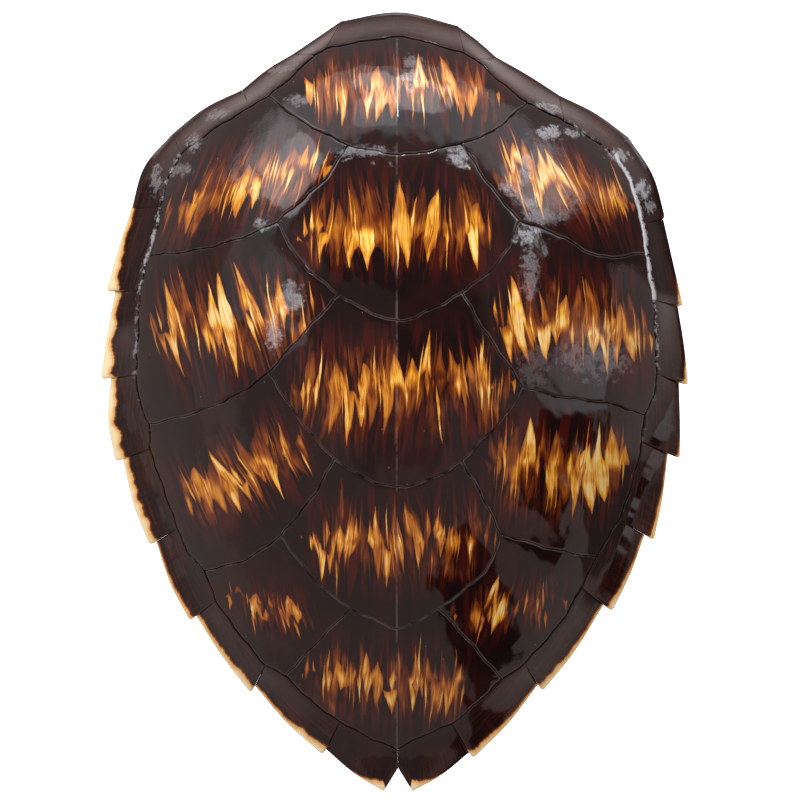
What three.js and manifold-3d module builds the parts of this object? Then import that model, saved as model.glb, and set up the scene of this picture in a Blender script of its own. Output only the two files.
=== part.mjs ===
// The carapace of a hawksbill-type sea turtle: a domed bony shield, and the horny scutes that cover it.
// Millimetres. +Z is up out of the back, +Y points to the head, and the origin is on the ground under
// the middle of the shell. Left and right are the animal's own.
import * as THREE from "three";
import { mergeVertices } from "three/addons/utils/BufferGeometryUtils.js";
import Module from "manifold-3d";

const wasm = await Module();
wasm.setup();

// ---------------------------------------------------------------- driving dimensions
const DOME_HEIGHT = 165; // the top of the back above the ground
const DOME_TOP = { x: 2, y: 45 }; // the highest place, ahead of the middle
const MARGIN_HEIGHT = { side: 36, headRise: 19, endRise: 11 }; // where the dome meets the marginals
const SHOULDER = { side: 0.25, head: 0.2 }; // how much the dome squares off towards its edge
const PLAN_RADIUS = { mean: 260, waves: [-19, 34, -13, 7] }; // wide at the shoulders, drawn out to the tail
const KEEL = { rise: 4, halfWidth: 22, crest: 3 }; // the low ridge along the middle of the back

const SCUTE_THICKNESS = 2.4;
const SEAM_GAP = 0.44; // between one scute and the next
const SEAM_STEP = 24; // the length of a facet along a seam
const SHARPEST_CORNER = 0.5;
const PLATE_RINGS = [1, 0.68, 0.36]; // the rings of facets on a plate, from its edge to its middle

const RIM = { thickness: 3, slope: 0.45 }; // the sharp outer edge of the marginals
const LEAF = { width: 24, mostShare: 0.8 }; // how far a marginal folds back under the shell
const FOLD_DEPTH = 5; // solid horn between the edge and the fold
const MARGIN_CREASES = { top: [0.35, 0.7], under: [0.4, 0.72] }; // shares of the way in from the rim
const HEAD_LIFT = { height: 12, from: 0.35 }; // the rim stands clear of the ground over the neck

const BONE = { thickness: 5, gap: 1.8, rimGap: 3.4, edgeInset: 13, tailInset: 12, spokes: 54 };
const BONE_EDGE = { thickness: 1, leastWidth: 6 }; // the wedge of bone inside the fold of a marginal
const BONE_RINGS = { // shares of the way out to the knee, and from the knee out to the edge
  top: [0.2, 0.4, 0.6, 0.78, 0.92],
  wedge: 0.25,
  foot: 0.05,
  under: [0.9, 0.76, 0.6, 0.4, 0.2],
};
const TAIL_NOTCH_BEARING = 168; // degrees: the bone draws back behind the notch from here on
const SPINE = { halfWidth: 9, depth: 10, from: 268, to: -262, steps: 12 };
const RIBS = { pairs: 8, firstY: 226, pitch: 57, halfWidth: 5, depth: 3, steps: 4, reach: 0.9 };
const RIB_BEND = { x: 0.5, y: 0.35 }; // where a rib turns, as shares of its way out
const RIB_BEARING = { first: 36, pitch: 15.6 }; // degrees from the head, where each rib meets the rim
const BAR = { root: 2, foot: 0.9, crest: 0.4 }; // a bar's depth in the bone, and its section's half widths

const SLOPE_STEP = 0.5; // the step that a surface's slope is measured over
const MERGE_DISTANCE = 1e-3;

// ---------------------------------------------------------------- the seams
// Where three scutes meet, as [x, y].
const JUNCTIONS = {
  nuchal_left: [-60, 312],
  nuchal_right: [61, 307],
  m1_left: [-71, 306],
  m1_right: [72, 300],
  v1_left: [-110, 268],
  v1_right: [116, 262],
  m2_left: [-127, 259],
  m2_right: [148, 248],
  m3_left: [-189, 221],
  m3_right: [195, 220],
  m4_left: [-207, 173],
  m4_right: [218, 158],
  c1_left: [-217, 130],
  c1_right: [221, 132],
  m5_left: [-225, 100],
  m5_right: [228, 91],
  m6_left: [-230, 25],
  m6_right: [233, 26],
  c2_left: [-218, -19],
  c2_right: [222, -11],
  m7_left: [-219, -41],
  m7_right: [220, -35],
  m8_left: [-194, -112],
  m8_right: [201, -104],
  c3_left: [-169, -149],
  c3_right: [179, -137],
  m9_left: [-159, -176],
  m9_right: [166, -164],
  m10_left: [-115, -233],
  m10_right: [115, -231],
  c4_left: [-97, -242],
  c4_right: [95, -245],
  m11_left: [-49, -284],
  m11_right: [51, -286],
  tail: [2, -311],
  v1_c1_left: [-40, 220],
  v1_c1_right: [57, 222],
  v2_side_left: [-100, 154],
  v2_side_right: [107, 155],
  v2_c2_left: [-47, 91],
  v2_c2_right: [57, 93],
  v3_side_left: [-107, 26],
  v3_side_right: [109, 14],
  v3_c3_left: [-51, -47],
  v3_c3_right: [57, -49],
  v4_side_left: [-98, -114],
  v4_side_right: [91, -112],
  v4_c4_left: [-38, -177],
  v4_c4_right: [38, -177],
};

// The points that a curved seam passes between its two junctions.
const CURVED_SEAMS = {
  "nuchal_left nuchal_right": [[-32, 317], [8, 322], [36, 314]],
  "m1_left v1_left": [[-90, 286]],
  "m1_right v1_right": [[96, 277]],
  "m2_left m3_left": [[-159, 241]],
  "m2_right m3_right": [[172, 234]],
  "m3_left m4_left": [[-200, 200]],
  "m3_right m4_right": [[209, 193]],
  "m4_left c1_left": [[-211, 147]],
  "m5_left m6_left": [[-227, 60]],
  "m5_right m6_right": [[231, 56]],
  "m6_left c2_left": [[-227, 1]],
  "m6_right c2_right": [[230, 6]],
  "m7_left m8_left": [[-207, -75]],
  "m7_right m8_right": [[213, -68]],
  "m8_left c3_left": [[-184, -133]],
  "m8_right c3_right": [[190, -119]],
  "m9_left m10_left": [[-139, -204]],
  "m9_right m10_right": [[147, -195]],
  "c4_left m11_left": [[-74, -265]],
  "c4_right m11_right": [[74, -266]],
  "m11_left tail": [[-23, -299]],
  "m11_right tail": [[26, -297]],
  "v1_left v1_c1_left": [[-82, 244]],
  "v1_right v1_c1_right": [[82, 232]],
  "v1_c1_left v1_c1_right": [[-19, 215], [8, 211], [35, 216]],
  "v1_c1_left v2_side_left": [[-58, 192]],
  "v1_c1_right v2_side_right": [[80, 187]],
  "v2_side_left c1_left": [[-132, 141], [-174, 132]],
  "v2_side_right c1_right": [[138, 145], [178, 127]],
  "v2_side_left v2_c2_left": [[-79, 119]],
  "v2_side_right v2_c2_right": [[93, 126], [80, 111]],
  "v2_c2_left v2_c2_right": [[-22, 77], [4, 69], [32, 79]],
  "v2_c2_left v3_side_left": [[-80, 56]],
  "v2_c2_right v3_side_right": [[71, 69]],
  "v3_side_left c2_left": [[-132, 9], [-172, -8]],
  "v3_side_right c2_right": [[142, 5], [188, -1]],
  "v3_side_left v3_c3_left": [[-88, -3], [-68, -29]],
  "v3_side_right v3_c3_right": [[94, -11], [76, -29]],
  "v3_c3_left v3_c3_right": [[-27, -62], [3, -71], [33, -63]],
  "v3_c3_left v4_side_left": [[-68, -77]],
  "v3_c3_right v4_side_right": [[74, -78]],
  "v4_side_left c3_left": [[-129, -136]],
  "v4_side_right c3_right": [[137, -127]],
  "v4_side_left v4_c4_left": [[-80, -139], [-60, -161]],
  "v4_side_right v4_c4_right": [[82, -139], [58, -162]],
  "v4_c4_left v4_c4_right": [[-18, -187], [4, -195], [21, -187]],
  "v4_c4_left c4_left": [[-75, -217]],
  "v4_c4_right c4_right": [[66, -209]],
};

// The junctions round each plate of the back, in order.
const VERTEBRAL_OUTLINES = [
  ["nuchal_left", "nuchal_right", "m1_right", "v1_right", "v1_c1_right", "v1_c1_left", "v1_left", "m1_left"],
  ["v1_c1_left", "v1_c1_right", "v2_side_right", "v2_c2_right", "v2_c2_left", "v2_side_left"],
  ["v2_c2_left", "v2_c2_right", "v3_side_right", "v3_c3_right", "v3_c3_left", "v3_side_left"],
  ["v3_c3_left", "v3_c3_right", "v4_side_right", "v4_c4_right", "v4_c4_left", "v4_side_left"],
  ["v4_c4_left", "v4_c4_right", "c4_right", "m11_right", "tail", "m11_left", "c4_left"],
];
const COSTAL_OUTLINES = [
  ["v1", "v1_c1", "v2_side", "c1", "m4", "m3", "m2"],
  ["v2_side", "v2_c2", "v3_side", "c2", "m6", "m5", "c1"],
  ["v3_side", "v3_c3", "v4_side", "c3", "m8", "m7", "c2"],
  ["v4_side", "v4_c4", "c4", "m10", "m9", "c3"],
];

// The inner edge of each marginal, from its head end to its tail end.
const MARGINAL_INNER = [
  ["nuchal", "m1"],
  ["m1", "v1", "m2"],
  ["m2", "m3"],
  ["m3", "m4"],
  ["m4", "c1", "m5"],
  ["m5", "m6"],
  ["m6", "c2", "m7"],
  ["m7", "m8"],
  ["m8", "c3", "m9"],
  ["m9", "m10"],
  ["m10", "c4", "m11"],
  ["m11", "tail"],
];

// Where each seam of the margin comes out at the rim, from the nuchal's end to the tail.
const RIM_SEAMS = {
  left: [
    [-48, 342], [-91, 313], [-137, 281], [-200, 242], [-237, 175], [-252, 100], [-256, 22],
    [-245, -51], [-215, -125], [-179, -192], [-126, -255], [-62, -312], [3, -329],
  ],
  right: [
    [56, 338], [91, 310], [148, 276], [210, 239], [242, 165], [255, 87], [256, 18],
    [246, -46], [225, -119], [188, -182], [129, -254], [67, -315], [3, -329],
  ],
};
const RIM_BULGE = { // how far the rim of each marginal bows out of straight
  left: [0, 2, 4, 8, 1, 1, 4.5, 3, 3, 2, 3, 2.5],
  right: [1, 1, 3, 6, 0, 1, 0.5, 1.5, 2, 3, 3, 2.5],
};
const TIP_OVERHANG = { // how far the tail corner of each marginal stands out past the next one
  left: [0, 0, 0, 0, 8, 9, 7, 7, 7.5, 8, 6, 0],
  right: [0, 0, 0, 2, 5, 9, 12, 10, 10, 7.5, 6.5, 0],
};
const TAIL_TIPS = { left: [-10, -350], right: [16, -350] };
const NUCHAL_FRONT = [4, 350];

// ---------------------------------------------------------------- the surface of the back
const lerp = (a, b, t) => a + (b - a) * t;
const clamp01 = (t) => Math.min(Math.max(t, 0), 1);
const bearingOf = (x, y) => Math.atan2(x - DOME_TOP.x, y - DOME_TOP.y); // 0 at the head, pi at the tail

// The plan radius of the dome at a bearing.
function domeRadius(bearing) {
  return PLAN_RADIUS.waves.reduce(
    (radius, size, i) => radius + size * Math.cos((i + 1) * bearing),
    PLAN_RADIUS.mean,
  );
}

function domeHeight(x, y) {
  const bearing = bearingOf(x, y);
  const ahead = Math.cos(bearing);
  const out2 = ((x - DOME_TOP.x) ** 2 + (y - DOME_TOP.y) ** 2) / domeRadius(bearing) ** 2;
  const margin = MARGIN_HEIGHT.side + MARGIN_HEIGHT.headRise * ahead + MARGIN_HEIGHT.endRise * ahead ** 2;
  const shoulder = SHOULDER.side + SHOULDER.head * ahead;
  const fall = out2 * (1 - shoulder + shoulder * out2);
  const fromKeel = Math.hypot(x - DOME_TOP.x, KEEL.crest) - KEEL.crest;
  const keel = KEEL.rise * Math.exp(-fromKeel / KEEL.halfWidth) * Math.max(0, 1 - out2 ** 2);
  return DOME_HEIGHT - (DOME_HEIGHT - margin) * fall + keel;
}

function domeNormal(x, y) {
  const h = SLOPE_STEP;
  return new THREE.Vector3(
    domeHeight(x - h, y) - domeHeight(x + h, y),
    domeHeight(x, y - h) - domeHeight(x, y + h),
    2 * h,
  ).normalize();
}

// The point a given depth below the outer surface, straight in through the shell.
function onDome(x, y, depth = 0) {
  return new THREE.Vector3(x, y, domeHeight(x, y)).addScaledVector(domeNormal(x, y), -depth);
}

// The underside of the rim: on the ground, but for the lift over the neck.
function rimFloor(x, y) {
  const ahead = clamp01((Math.cos(bearingOf(x, y)) - HEAD_LIFT.from) / (1 - HEAD_LIFT.from));
  return HEAD_LIFT.height * ahead * ahead;
}

// ---------------------------------------------------------------- seams as polylines
const vec2 = ([x, y]) => new THREE.Vector2(x, y);
const seamCache = new Map();

function divideCurve(points, step) {
  const curve = new THREE.CatmullRomCurve3(
    points.map((p) => new THREE.Vector3(p.x, p.y, 0)),
    false,
    "centripetal",
  );
  const pieces = Math.max(1, Math.round(curve.getLength() / step));
  return curve.getSpacedPoints(pieces).map((p) => new THREE.Vector2(p.x, p.y));
}

// The seam between two junctions, in the order asked for, and the same points from either side.
function seam(from, to) {
  const flipped = `${to} ${from}` in CURVED_SEAMS || (!(`${from} ${to}` in CURVED_SEAMS) && from > to);
  const [a, b] = flipped ? [to, from] : [from, to];
  const key = `${a} ${b}`;
  if (!seamCache.has(key)) {
    const via = CURVED_SEAMS[key] ?? [];
    seamCache.set(key, divideCurve([JUNCTIONS[a], ...via, JUNCTIONS[b]].map(vec2), SEAM_STEP));
  }
  const points = seamCache.get(key).map((p) => p.clone());
  return flipped ? points.reverse() : points;
}

function chain(names) {
  const points = [];
  for (let i = 0; i + 1 < names.length; i++) {
    const piece = seam(names[i], names[i + 1]);
    points.push(...(i ? piece.slice(1) : piece));
  }
  return points;
}

const sided = (names, side) =>
  names.map((name) => (name === "tail" ? name : `${name}_${side}`));

// ---------------------------------------------------------------- geometry helpers
function solidGeometry(vertices, faces) {
  const position = new Float32Array(vertices.flatMap((v) => [v.x, v.y, v.z]));
  const geometry = new THREE.BufferGeometry();
  geometry.setAttribute("position", new THREE.BufferAttribute(position, 3));
  geometry.setIndex(faces.flat());
  if (signedVolume(vertices, faces) < 0) geometry.setIndex(faces.flatMap(([a, b, c]) => [a, c, b]));
  return geometry;
}

function signedVolume(vertices, faces) {
  const cross = new THREE.Vector3();
  return faces.reduce(
    (sum, [a, b, c]) => sum + vertices[a].dot(cross.crossVectors(vertices[b], vertices[c])),
    0,
  );
}

function quad(faces, a, b, c, d) {
  faces.push([a, b, c], [a, c, d]);
}

// Skins a row of closed sections, all with the same number of points, and caps both ends.
function loft(sections, capFaces) {
  const count = sections[0].length;
  const faces = [];
  for (let i = 0; i + 1 < sections.length; i++)
    for (let j = 0; j < count; j++) {
      const next = (j + 1) % count;
      quad(faces, i * count + j, i * count + next, (i + 1) * count + next, (i + 1) * count + j);
    }
  const last = (sections.length - 1) * count;
  for (const [a, b, c] of capFaces) faces.push([c, b, a], [last + a, last + b, last + c]);
  return solidGeometry(sections.flat(), faces);
}

// Moves a closed outline inwards, so that a gap is left along each seam. At a corner a point moves
// further than that, but never more than twice as far.
function inset(outline, distance) {
  const count = outline.length;
  return outline.map((p, i) => {
    const before = p.clone().sub(outline[(i + count - 1) % count]).normalize();
    const after = outline[(i + 1) % count].clone().sub(p).normalize();
    const inward = new THREE.Vector2(-before.y - after.y, before.x + after.x).normalize();
    const spread = Math.max(SHARPEST_CORNER, -inward.x * before.y + inward.y * before.x);
    return p.clone().addScaledVector(inward, distance / spread);
  });
}

// ---------------------------------------------------------------- the plates of the back
function plateOutline(names) {
  const outline = chain([...names, names[0]]).slice(0, -1);
  const area = THREE.ShapeUtils.area(outline);
  return inset(area > 0 ? outline : outline.reverse(), SEAM_GAP / 2);
}

function plateGeometry(names) {
  const outline = plateOutline(names);
  const count = outline.length;
  const middle = outline.reduce((sum, p) => sum.add(p), new THREE.Vector2()).divideScalar(count);
  const vertices = [];
  const faces = [];
  const skin = (depth) => {
    const first = vertices.length;
    for (const ring of PLATE_RINGS)
      for (const p of outline)
        vertices.push(onDome(lerp(middle.x, p.x, ring), lerp(middle.y, p.y, ring), depth));
    vertices.push(onDome(middle.x, middle.y, depth));
    return first;
  };
  const top = skin(0);
  const under = skin(SCUTE_THICKNESS);
  const hub = PLATE_RINGS.length * count;
  for (let j = 0; j < count; j++) {
    const next = (j + 1) % count;
    for (let ring = 0; ring + 1 < PLATE_RINGS.length; ring++) {
      const [o, i] = [ring * count, (ring + 1) * count];
      quad(faces, top + o + j, top + o + next, top + i + next, top + i + j);
      quad(faces, under + i + j, under + i + next, under + o + next, under + o + j);
    }
    const lastRing = hub - count;
    faces.push([top + lastRing + j, top + lastRing + next, top + hub]);
    faces.push([under + lastRing + next, under + lastRing + j, under + hub]);
    quad(faces, under + j, under + next, top + next, top + j);
  }
  return solidGeometry(vertices, faces);
}

// ---------------------------------------------------------------- the marginals
// The rim of one marginal, bowed out, from its head-end seam to its tail corner.
function rimCurve(from, to, bulge) {
  const middle = from.clone().add(to).multiplyScalar(0.5);
  const along = to.clone().sub(from).normalize();
  const out = new THREE.Vector2(along.y, -along.x);
  const centre = new THREE.Vector2(DOME_TOP.x, DOME_TOP.y);
  if (out.dot(middle.clone().sub(centre)) < 0) out.negate();
  return [from, middle.addScaledVector(out, bulge), to];
}

// The cross seam of the margin at a rim seam: its inner end, its rim end and the tip beyond it.
function crossSeam(side, index) {
  const inner = vec2(JUNCTIONS[MARGINAL_INNER[index].at(-1) === "tail" ? "tail" : `m${index + 1}_${side}`]);
  const rim = vec2(RIM_SEAMS[side][index + 1]);
  const out = rim.clone().sub(inner).normalize();
  return { inner, rim, tip: rim.clone().addScaledVector(out, TIP_OVERHANG[side][index]) };
}

// Heights over one line across the margin, from the rim (d = 0) in to the edge of the dome (d = width).
function marginProfile(outer, inner) {
  const width = outer.distanceTo(inner);
  const inward = inner.clone().sub(outer).divideScalar(width);
  const floor = rimFloor(outer.x, outer.y);
  const h = SLOPE_STEP;
  const edge = domeHeight(inner.x, inner.y);
  const domeSlope = (domeHeight(inner.x + inward.x * h, inner.y + inward.y * h) - edge) / h;
  const height = (d) => {
    const t = d / width;
    const rise = t * t * (3 - 2 * t);
    const bow = RIM.slope * t * (1 - t) ** 2 - domeSlope * t * t * (1 - t);
    return lerp(floor + RIM.thickness, edge, rise) + width * bow;
  };
  const slope = (d) => (height(d + h) - height(d - h)) / (2 * h);
  return { width, inward, floor, height, slope };
}

// One fold of horn: over the rim, round its edge, and back underneath.
function marginSection(outer, inner) {
  const { width, inward, floor, height, slope } = marginProfile(outer, inner);
  const at = (d, z) => new THREE.Vector3(outer.x + inward.x * d, outer.y + inward.y * d, z);
  const under = (d) => {
    const m = slope(d);
    const thin = SCUTE_THICKNESS / Math.hypot(1, m);
    return at(d + m * thin, height(d) - thin);
  };
  const over = (d) => at(d, height(d));
  const leaf = Math.min(LEAF.width, width * LEAF.mostShare);
  const [topOuter, topInner] = MARGIN_CREASES.top;
  const [underOuter, underInner] = MARGIN_CREASES.under;
  return [
    at(0, floor),
    at(leaf, floor),
    at(leaf, floor + SCUTE_THICKNESS),
    at(FOLD_DEPTH, floor + SCUTE_THICKNESS),
    under(width * underOuter),
    under(width * underInner),
    onDome(inner.x, inner.y, SCUTE_THICKNESS),
    onDome(inner.x, inner.y),
    over(width * topInner),
    over(width * topOuter),
    at(0, floor + RIM.thickness),
  ];
}

// The two ends of the section are simple enough to cap with the same fan of faces.
const SECTION_CAP = [
  [0, 1, 2], [0, 2, 3], [0, 3, 10], [3, 9, 10], [3, 4, 9], [4, 8, 9], [4, 5, 8], [5, 7, 8], [5, 6, 7],
];

// Draws a row of points in from both of its ends.
function shorten(points, distance) {
  const ends = points.map((p) => p.clone());
  const last = ends.length - 1;
  const step = (from, to) => to.clone().sub(from).setLength(distance);
  ends[0].add(step(points[0], points[1]));
  ends[last].add(step(points[last], points[last - 1]));
  return ends;
}

function marginGeometry(innerNames, rimPoints, notch) {
  const edge = chain(innerNames);
  const inner = shorten(edge, SEAM_GAP / 2);
  const spans = inner.length - 1;
  let outer;
  if (notch) {
    outer = [...new THREE.SplineCurve(rimPoints).getSpacedPoints(spans - 1), notch];
  } else {
    outer = new THREE.SplineCurve(rimPoints).getSpacedPoints(spans);
  }
  outer = shorten(outer, SEAM_GAP / 2);
  const sections = inner.map((p, i) => {
    const out = outer[i].clone().sub(p).setLength(SEAM_GAP / 2);
    return marginSection(outer[i], p.clone().add(out));
  });
  return loft(sections, SECTION_CAP);
}

function marginal(side, index) {
  const last = index === MARGINAL_INNER.length - 1;
  const from = vec2(RIM_SEAMS[side][index]);
  const to = last ? vec2(TAIL_TIPS[side]) : crossSeam(side, index).tip;
  const rim = rimCurve(from, to, RIM_BULGE[side][index]);
  const notch = last ? vec2(RIM_SEAMS[side][index + 1]) : null;
  return marginGeometry(sided(MARGINAL_INNER[index], side), rim, notch);
}

function nuchal() {
  const rim = [RIM_SEAMS.left[0], NUCHAL_FRONT, RIM_SEAMS.right[0]].map(vec2);
  return marginGeometry(["nuchal_left", "nuchal_right"], rim, null);
}

// ---------------------------------------------------------------- the bone
// The distance from the top of the dome to a closed row of points, at a bearing.
function radiusTo(points) {
  const polar = points
    .map((p) => ({ bearing: bearingOf(p.x, p.y), r: Math.hypot(p.x - DOME_TOP.x, p.y - DOME_TOP.y) }))
    .sort((a, b) => a.bearing - b.bearing);
  return (bearing) => {
    const after = polar.findIndex((p) => p.bearing > bearing);
    const b = polar[after < 0 ? 0 : after];
    const a = polar.at(after <= 0 ? -1 : after - 1);
    const turn = 2 * Math.PI;
    const gap = (b.bearing - a.bearing + turn) % turn;
    return lerp(a.r, b.r, ((bearing - a.bearing + turn) % turn) / gap);
  };
}

const sides = ["left", "right"];
const marginRadius = radiusTo([
  ...chain(["nuchal_left", "nuchal_right"]).slice(0, -1),
  ...sides.flatMap((side) => MARGINAL_INNER.flatMap((n) => chain(sided(n, side)).slice(0, -1))),
  vec2(JUNCTIONS.tail),
]);
const rimRadius = radiusTo([...RIM_SEAMS.left, ...RIM_SEAMS.right.slice(0, -1), NUCHAL_FRONT].map(vec2));

// The closed profile of the bone along one bearing, from the middle of its top to the middle below.
function boneProfile(bearing) {
  const towards = new THREE.Vector2(Math.sin(bearing), Math.cos(bearing));
  const at = (r) => new THREE.Vector2(DOME_TOP.x, DOME_TOP.y).addScaledVector(towards, r);
  const domeEdge = marginRadius(bearing);
  const rim = rimRadius(bearing);
  const notchBearing = THREE.MathUtils.degToRad(TAIL_NOTCH_BEARING);
  const behindNotch = clamp01((Math.abs(bearing) - notchBearing) / (Math.PI - notchBearing));
  const edge = rim - BONE.edgeInset - BONE.tailInset * behindNotch;
  const knee = Math.min(domeEdge, edge - BONE_EDGE.leastWidth);
  const margin = marginProfile(at(rim), at(domeEdge));
  const top = SCUTE_THICKNESS + BONE.gap;
  const bottom = top + BONE.thickness;
  const below = margin.floor + SCUTE_THICKNESS + BONE.gap;
  const onTop = (r) => {
    const p = at(r);
    if (r < domeEdge) return onDome(p.x, p.y, top);
    const d = rim - r;
    const cover = (SCUTE_THICKNESS + BONE.rimGap) * Math.hypot(1, margin.slope(d));
    return new THREE.Vector3(p.x, p.y, Math.max(margin.height(d) - cover, below + BONE_EDGE.thickness));
  };
  const onBottom = (r) => onDome(at(r).x, at(r).y, bottom);
  const flat = (r) => new THREE.Vector3(at(r).x, at(r).y, below);
  return [
    ...BONE_RINGS.top.map((share) => onTop(knee * share)),
    onTop(lerp(knee, edge, BONE_RINGS.wedge)),
    onTop(edge),
    flat(edge),
    flat(lerp(knee, rim, BONE_RINGS.foot)),
    ...BONE_RINGS.under.map((share) => onBottom(knee * share)),
  ];
}

function boneShield() {
  const spokes = [];
  for (let i = 0; i < BONE.spokes; i++)
    spokes.push(boneProfile(-Math.PI + ((i + 0.5) * 2 * Math.PI) / BONE.spokes));
  const count = spokes[0].length;
  const vertices = spokes.flat();
  const topHub = vertices.push(onDome(DOME_TOP.x, DOME_TOP.y, SCUTE_THICKNESS + BONE.gap)) - 1;
  const depth = SCUTE_THICKNESS + BONE.gap + BONE.thickness;
  const underHub = vertices.push(onDome(DOME_TOP.x, DOME_TOP.y, depth)) - 1;
  const faces = [];
  spokes.forEach((_, i) => {
    const [a, b] = [i * count, ((i + 1) % spokes.length) * count];
    for (let j = 0; j + 1 < count; j++) quad(faces, a + j, a + j + 1, b + j + 1, b + j);
    faces.push([topHub, a, b], [underHub, b + count - 1, a + count - 1]);
  });
  return solidGeometry(vertices, faces);
}

// A raised bar along the underside of the bone, through a row of plan points.
function underBar(path, halfWidth, depth) {
  const buried = SCUTE_THICKNESS + BONE.gap + BONE.thickness - BAR.root;
  const sections = path.map((p, i) => {
    const ahead = path[Math.min(i + 1, path.length - 1)];
    const behind = path[Math.max(i - 1, 0)];
    const along = ahead.clone().sub(behind).normalize();
    const across = (s, down) => onDome(p.x - along.y * s, p.y + along.x * s, buried + down);
    return [
      across(-halfWidth, 0),
      across(-halfWidth * BAR.foot, BAR.root),
      across(-halfWidth * BAR.crest, BAR.root + depth),
      across(halfWidth * BAR.crest, BAR.root + depth),
      across(halfWidth * BAR.foot, BAR.root),
      across(halfWidth, 0),
    ];
  });
  const cap = [[0, 1, 5], [1, 4, 5], [1, 2, 4], [2, 3, 4]];
  return loft(sections, cap);
}

function ribPath(side, index) {
  const bearing = THREE.MathUtils.degToRad(RIB_BEARING.first + RIB_BEARING.pitch * index) * side;
  const reach = marginRadius(bearing) * RIBS.reach;
  const start = new THREE.Vector2(DOME_TOP.x, RIBS.firstY - RIBS.pitch * index);
  const end = new THREE.Vector2(
    DOME_TOP.x + Math.sin(bearing) * reach,
    DOME_TOP.y + Math.cos(bearing) * reach,
  );
  const bend = new THREE.Vector2(
    lerp(start.x, end.x, RIB_BEND.x),
    lerp(start.y, end.y, RIB_BEND.y),
  );
  return new THREE.QuadraticBezierCurve(start, bend, end).getSpacedPoints(RIBS.steps);
}

function spinePath() {
  const points = [];
  for (let i = 0; i <= SPINE.steps; i++)
    points.push(new THREE.Vector2(DOME_TOP.x, lerp(SPINE.from, SPINE.to, i / SPINE.steps)));
  return points;
}

function toSolid(geometry) {
  const merged = mergeVertices(geometry, MERGE_DISTANCE);
  return new wasm.Manifold(
    new wasm.Mesh({
      numProp: 3,
      vertProperties: merged.attributes.position.array,
      triVerts: new Uint32Array(merged.index.array),
    }),
  );
}

function toGeometry(solid) {
  const mesh = solid.getMesh();
  const geometry = new THREE.BufferGeometry();
  geometry.setAttribute("position", new THREE.BufferAttribute(new Float32Array(mesh.vertProperties), 3));
  geometry.setIndex(new THREE.BufferAttribute(mesh.triVerts, 1));
  return geometry;
}

function carapaceBone() {
  let bone = toSolid(boneShield()).add(toSolid(underBar(spinePath(), SPINE.halfWidth, SPINE.depth)));
  for (const side of [-1, 1])
    for (let i = 0; i < RIBS.pairs; i++)
      bone = bone.add(toSolid(underBar(ribPath(side, i), RIBS.halfWidth, RIBS.depth)));
  return toGeometry(bone);
}

// ---------------------------------------------------------------- the shell
const horn = { roughness: 0.12, metalness: 0 };
const materials = {
  vertebral: new THREE.MeshStandardMaterial({ color: 0x3a1f16, ...horn }),
  costal: new THREE.MeshStandardMaterial({ color: 0x341b15, ...horn }),
  marginal: new THREE.MeshStandardMaterial({ color: 0x4a2a18, ...horn }),
  bone: new THREE.MeshStandardMaterial({ color: 0xd8c9a8, roughness: 0.7, metalness: 0 }),
};

const shell = new THREE.Group();

function addPiece(name, geometry, material) {
  const mesh = new THREE.Mesh(geometry, material);
  mesh.name = name;
  shell.add(mesh);
}

addPiece("carapace_bone", carapaceBone(), materials.bone);
addPiece("nuchal_scute", nuchal(), materials.marginal);
VERTEBRAL_OUTLINES.forEach((names, i) =>
  addPiece(`vertebral_scute_${i + 1}`, plateGeometry(names), materials.vertebral),
);
for (const side of sides) {
  COSTAL_OUTLINES.forEach((names, i) =>
    addPiece(`costal_scute_${side}_${i + 1}`, plateGeometry(sided(names, side)), materials.costal),
  );
  MARGINAL_INNER.forEach((_, i) => {
    const last = i === MARGINAL_INNER.length - 1;
    const name = last ? `supracaudal_scute_${side}` : `marginal_scute_${side}_${i + 1}`;
    addPiece(name, marginal(side, i), materials.marginal);
  });
}

export default shell;
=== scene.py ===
"""A polished hawksbill carapace: horny plates with flame markings, laid over a bony shield.

Sizes are millimetres, made metres where a mesh is built. +Z is up out of the back, +Y points to the
head, and the origin is on the ground under the middle. Left and right are the animal's own.
"""
import math
import zlib

import bpy
import numpy as np
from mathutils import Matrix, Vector
from mathutils.geometry import delaunay_2d_cdt, tessellate_polygon


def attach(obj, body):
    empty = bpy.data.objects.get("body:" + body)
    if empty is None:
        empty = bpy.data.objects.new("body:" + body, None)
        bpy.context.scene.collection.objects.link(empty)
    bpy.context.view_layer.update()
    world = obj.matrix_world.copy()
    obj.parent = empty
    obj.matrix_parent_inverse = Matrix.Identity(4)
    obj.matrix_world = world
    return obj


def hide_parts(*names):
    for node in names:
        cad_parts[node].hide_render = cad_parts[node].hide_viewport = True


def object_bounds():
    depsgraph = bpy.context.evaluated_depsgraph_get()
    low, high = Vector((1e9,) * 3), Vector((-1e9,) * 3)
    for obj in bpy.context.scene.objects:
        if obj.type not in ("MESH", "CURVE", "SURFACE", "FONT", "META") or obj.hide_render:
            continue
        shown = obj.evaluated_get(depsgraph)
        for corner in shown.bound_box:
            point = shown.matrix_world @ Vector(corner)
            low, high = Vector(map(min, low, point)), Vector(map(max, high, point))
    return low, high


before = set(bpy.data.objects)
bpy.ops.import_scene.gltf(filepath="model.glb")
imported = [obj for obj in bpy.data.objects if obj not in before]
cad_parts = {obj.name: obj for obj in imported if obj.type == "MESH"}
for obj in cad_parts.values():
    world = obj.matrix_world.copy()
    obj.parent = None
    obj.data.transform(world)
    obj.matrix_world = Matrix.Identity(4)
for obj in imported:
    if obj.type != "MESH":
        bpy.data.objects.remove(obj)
cad_low, cad_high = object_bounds()

MM = 0.001
SLOPE_STEP = 0.5  # how far each way a slope is taken
CURVE_STEPS = 32  # from one point of a curve to the next

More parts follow.
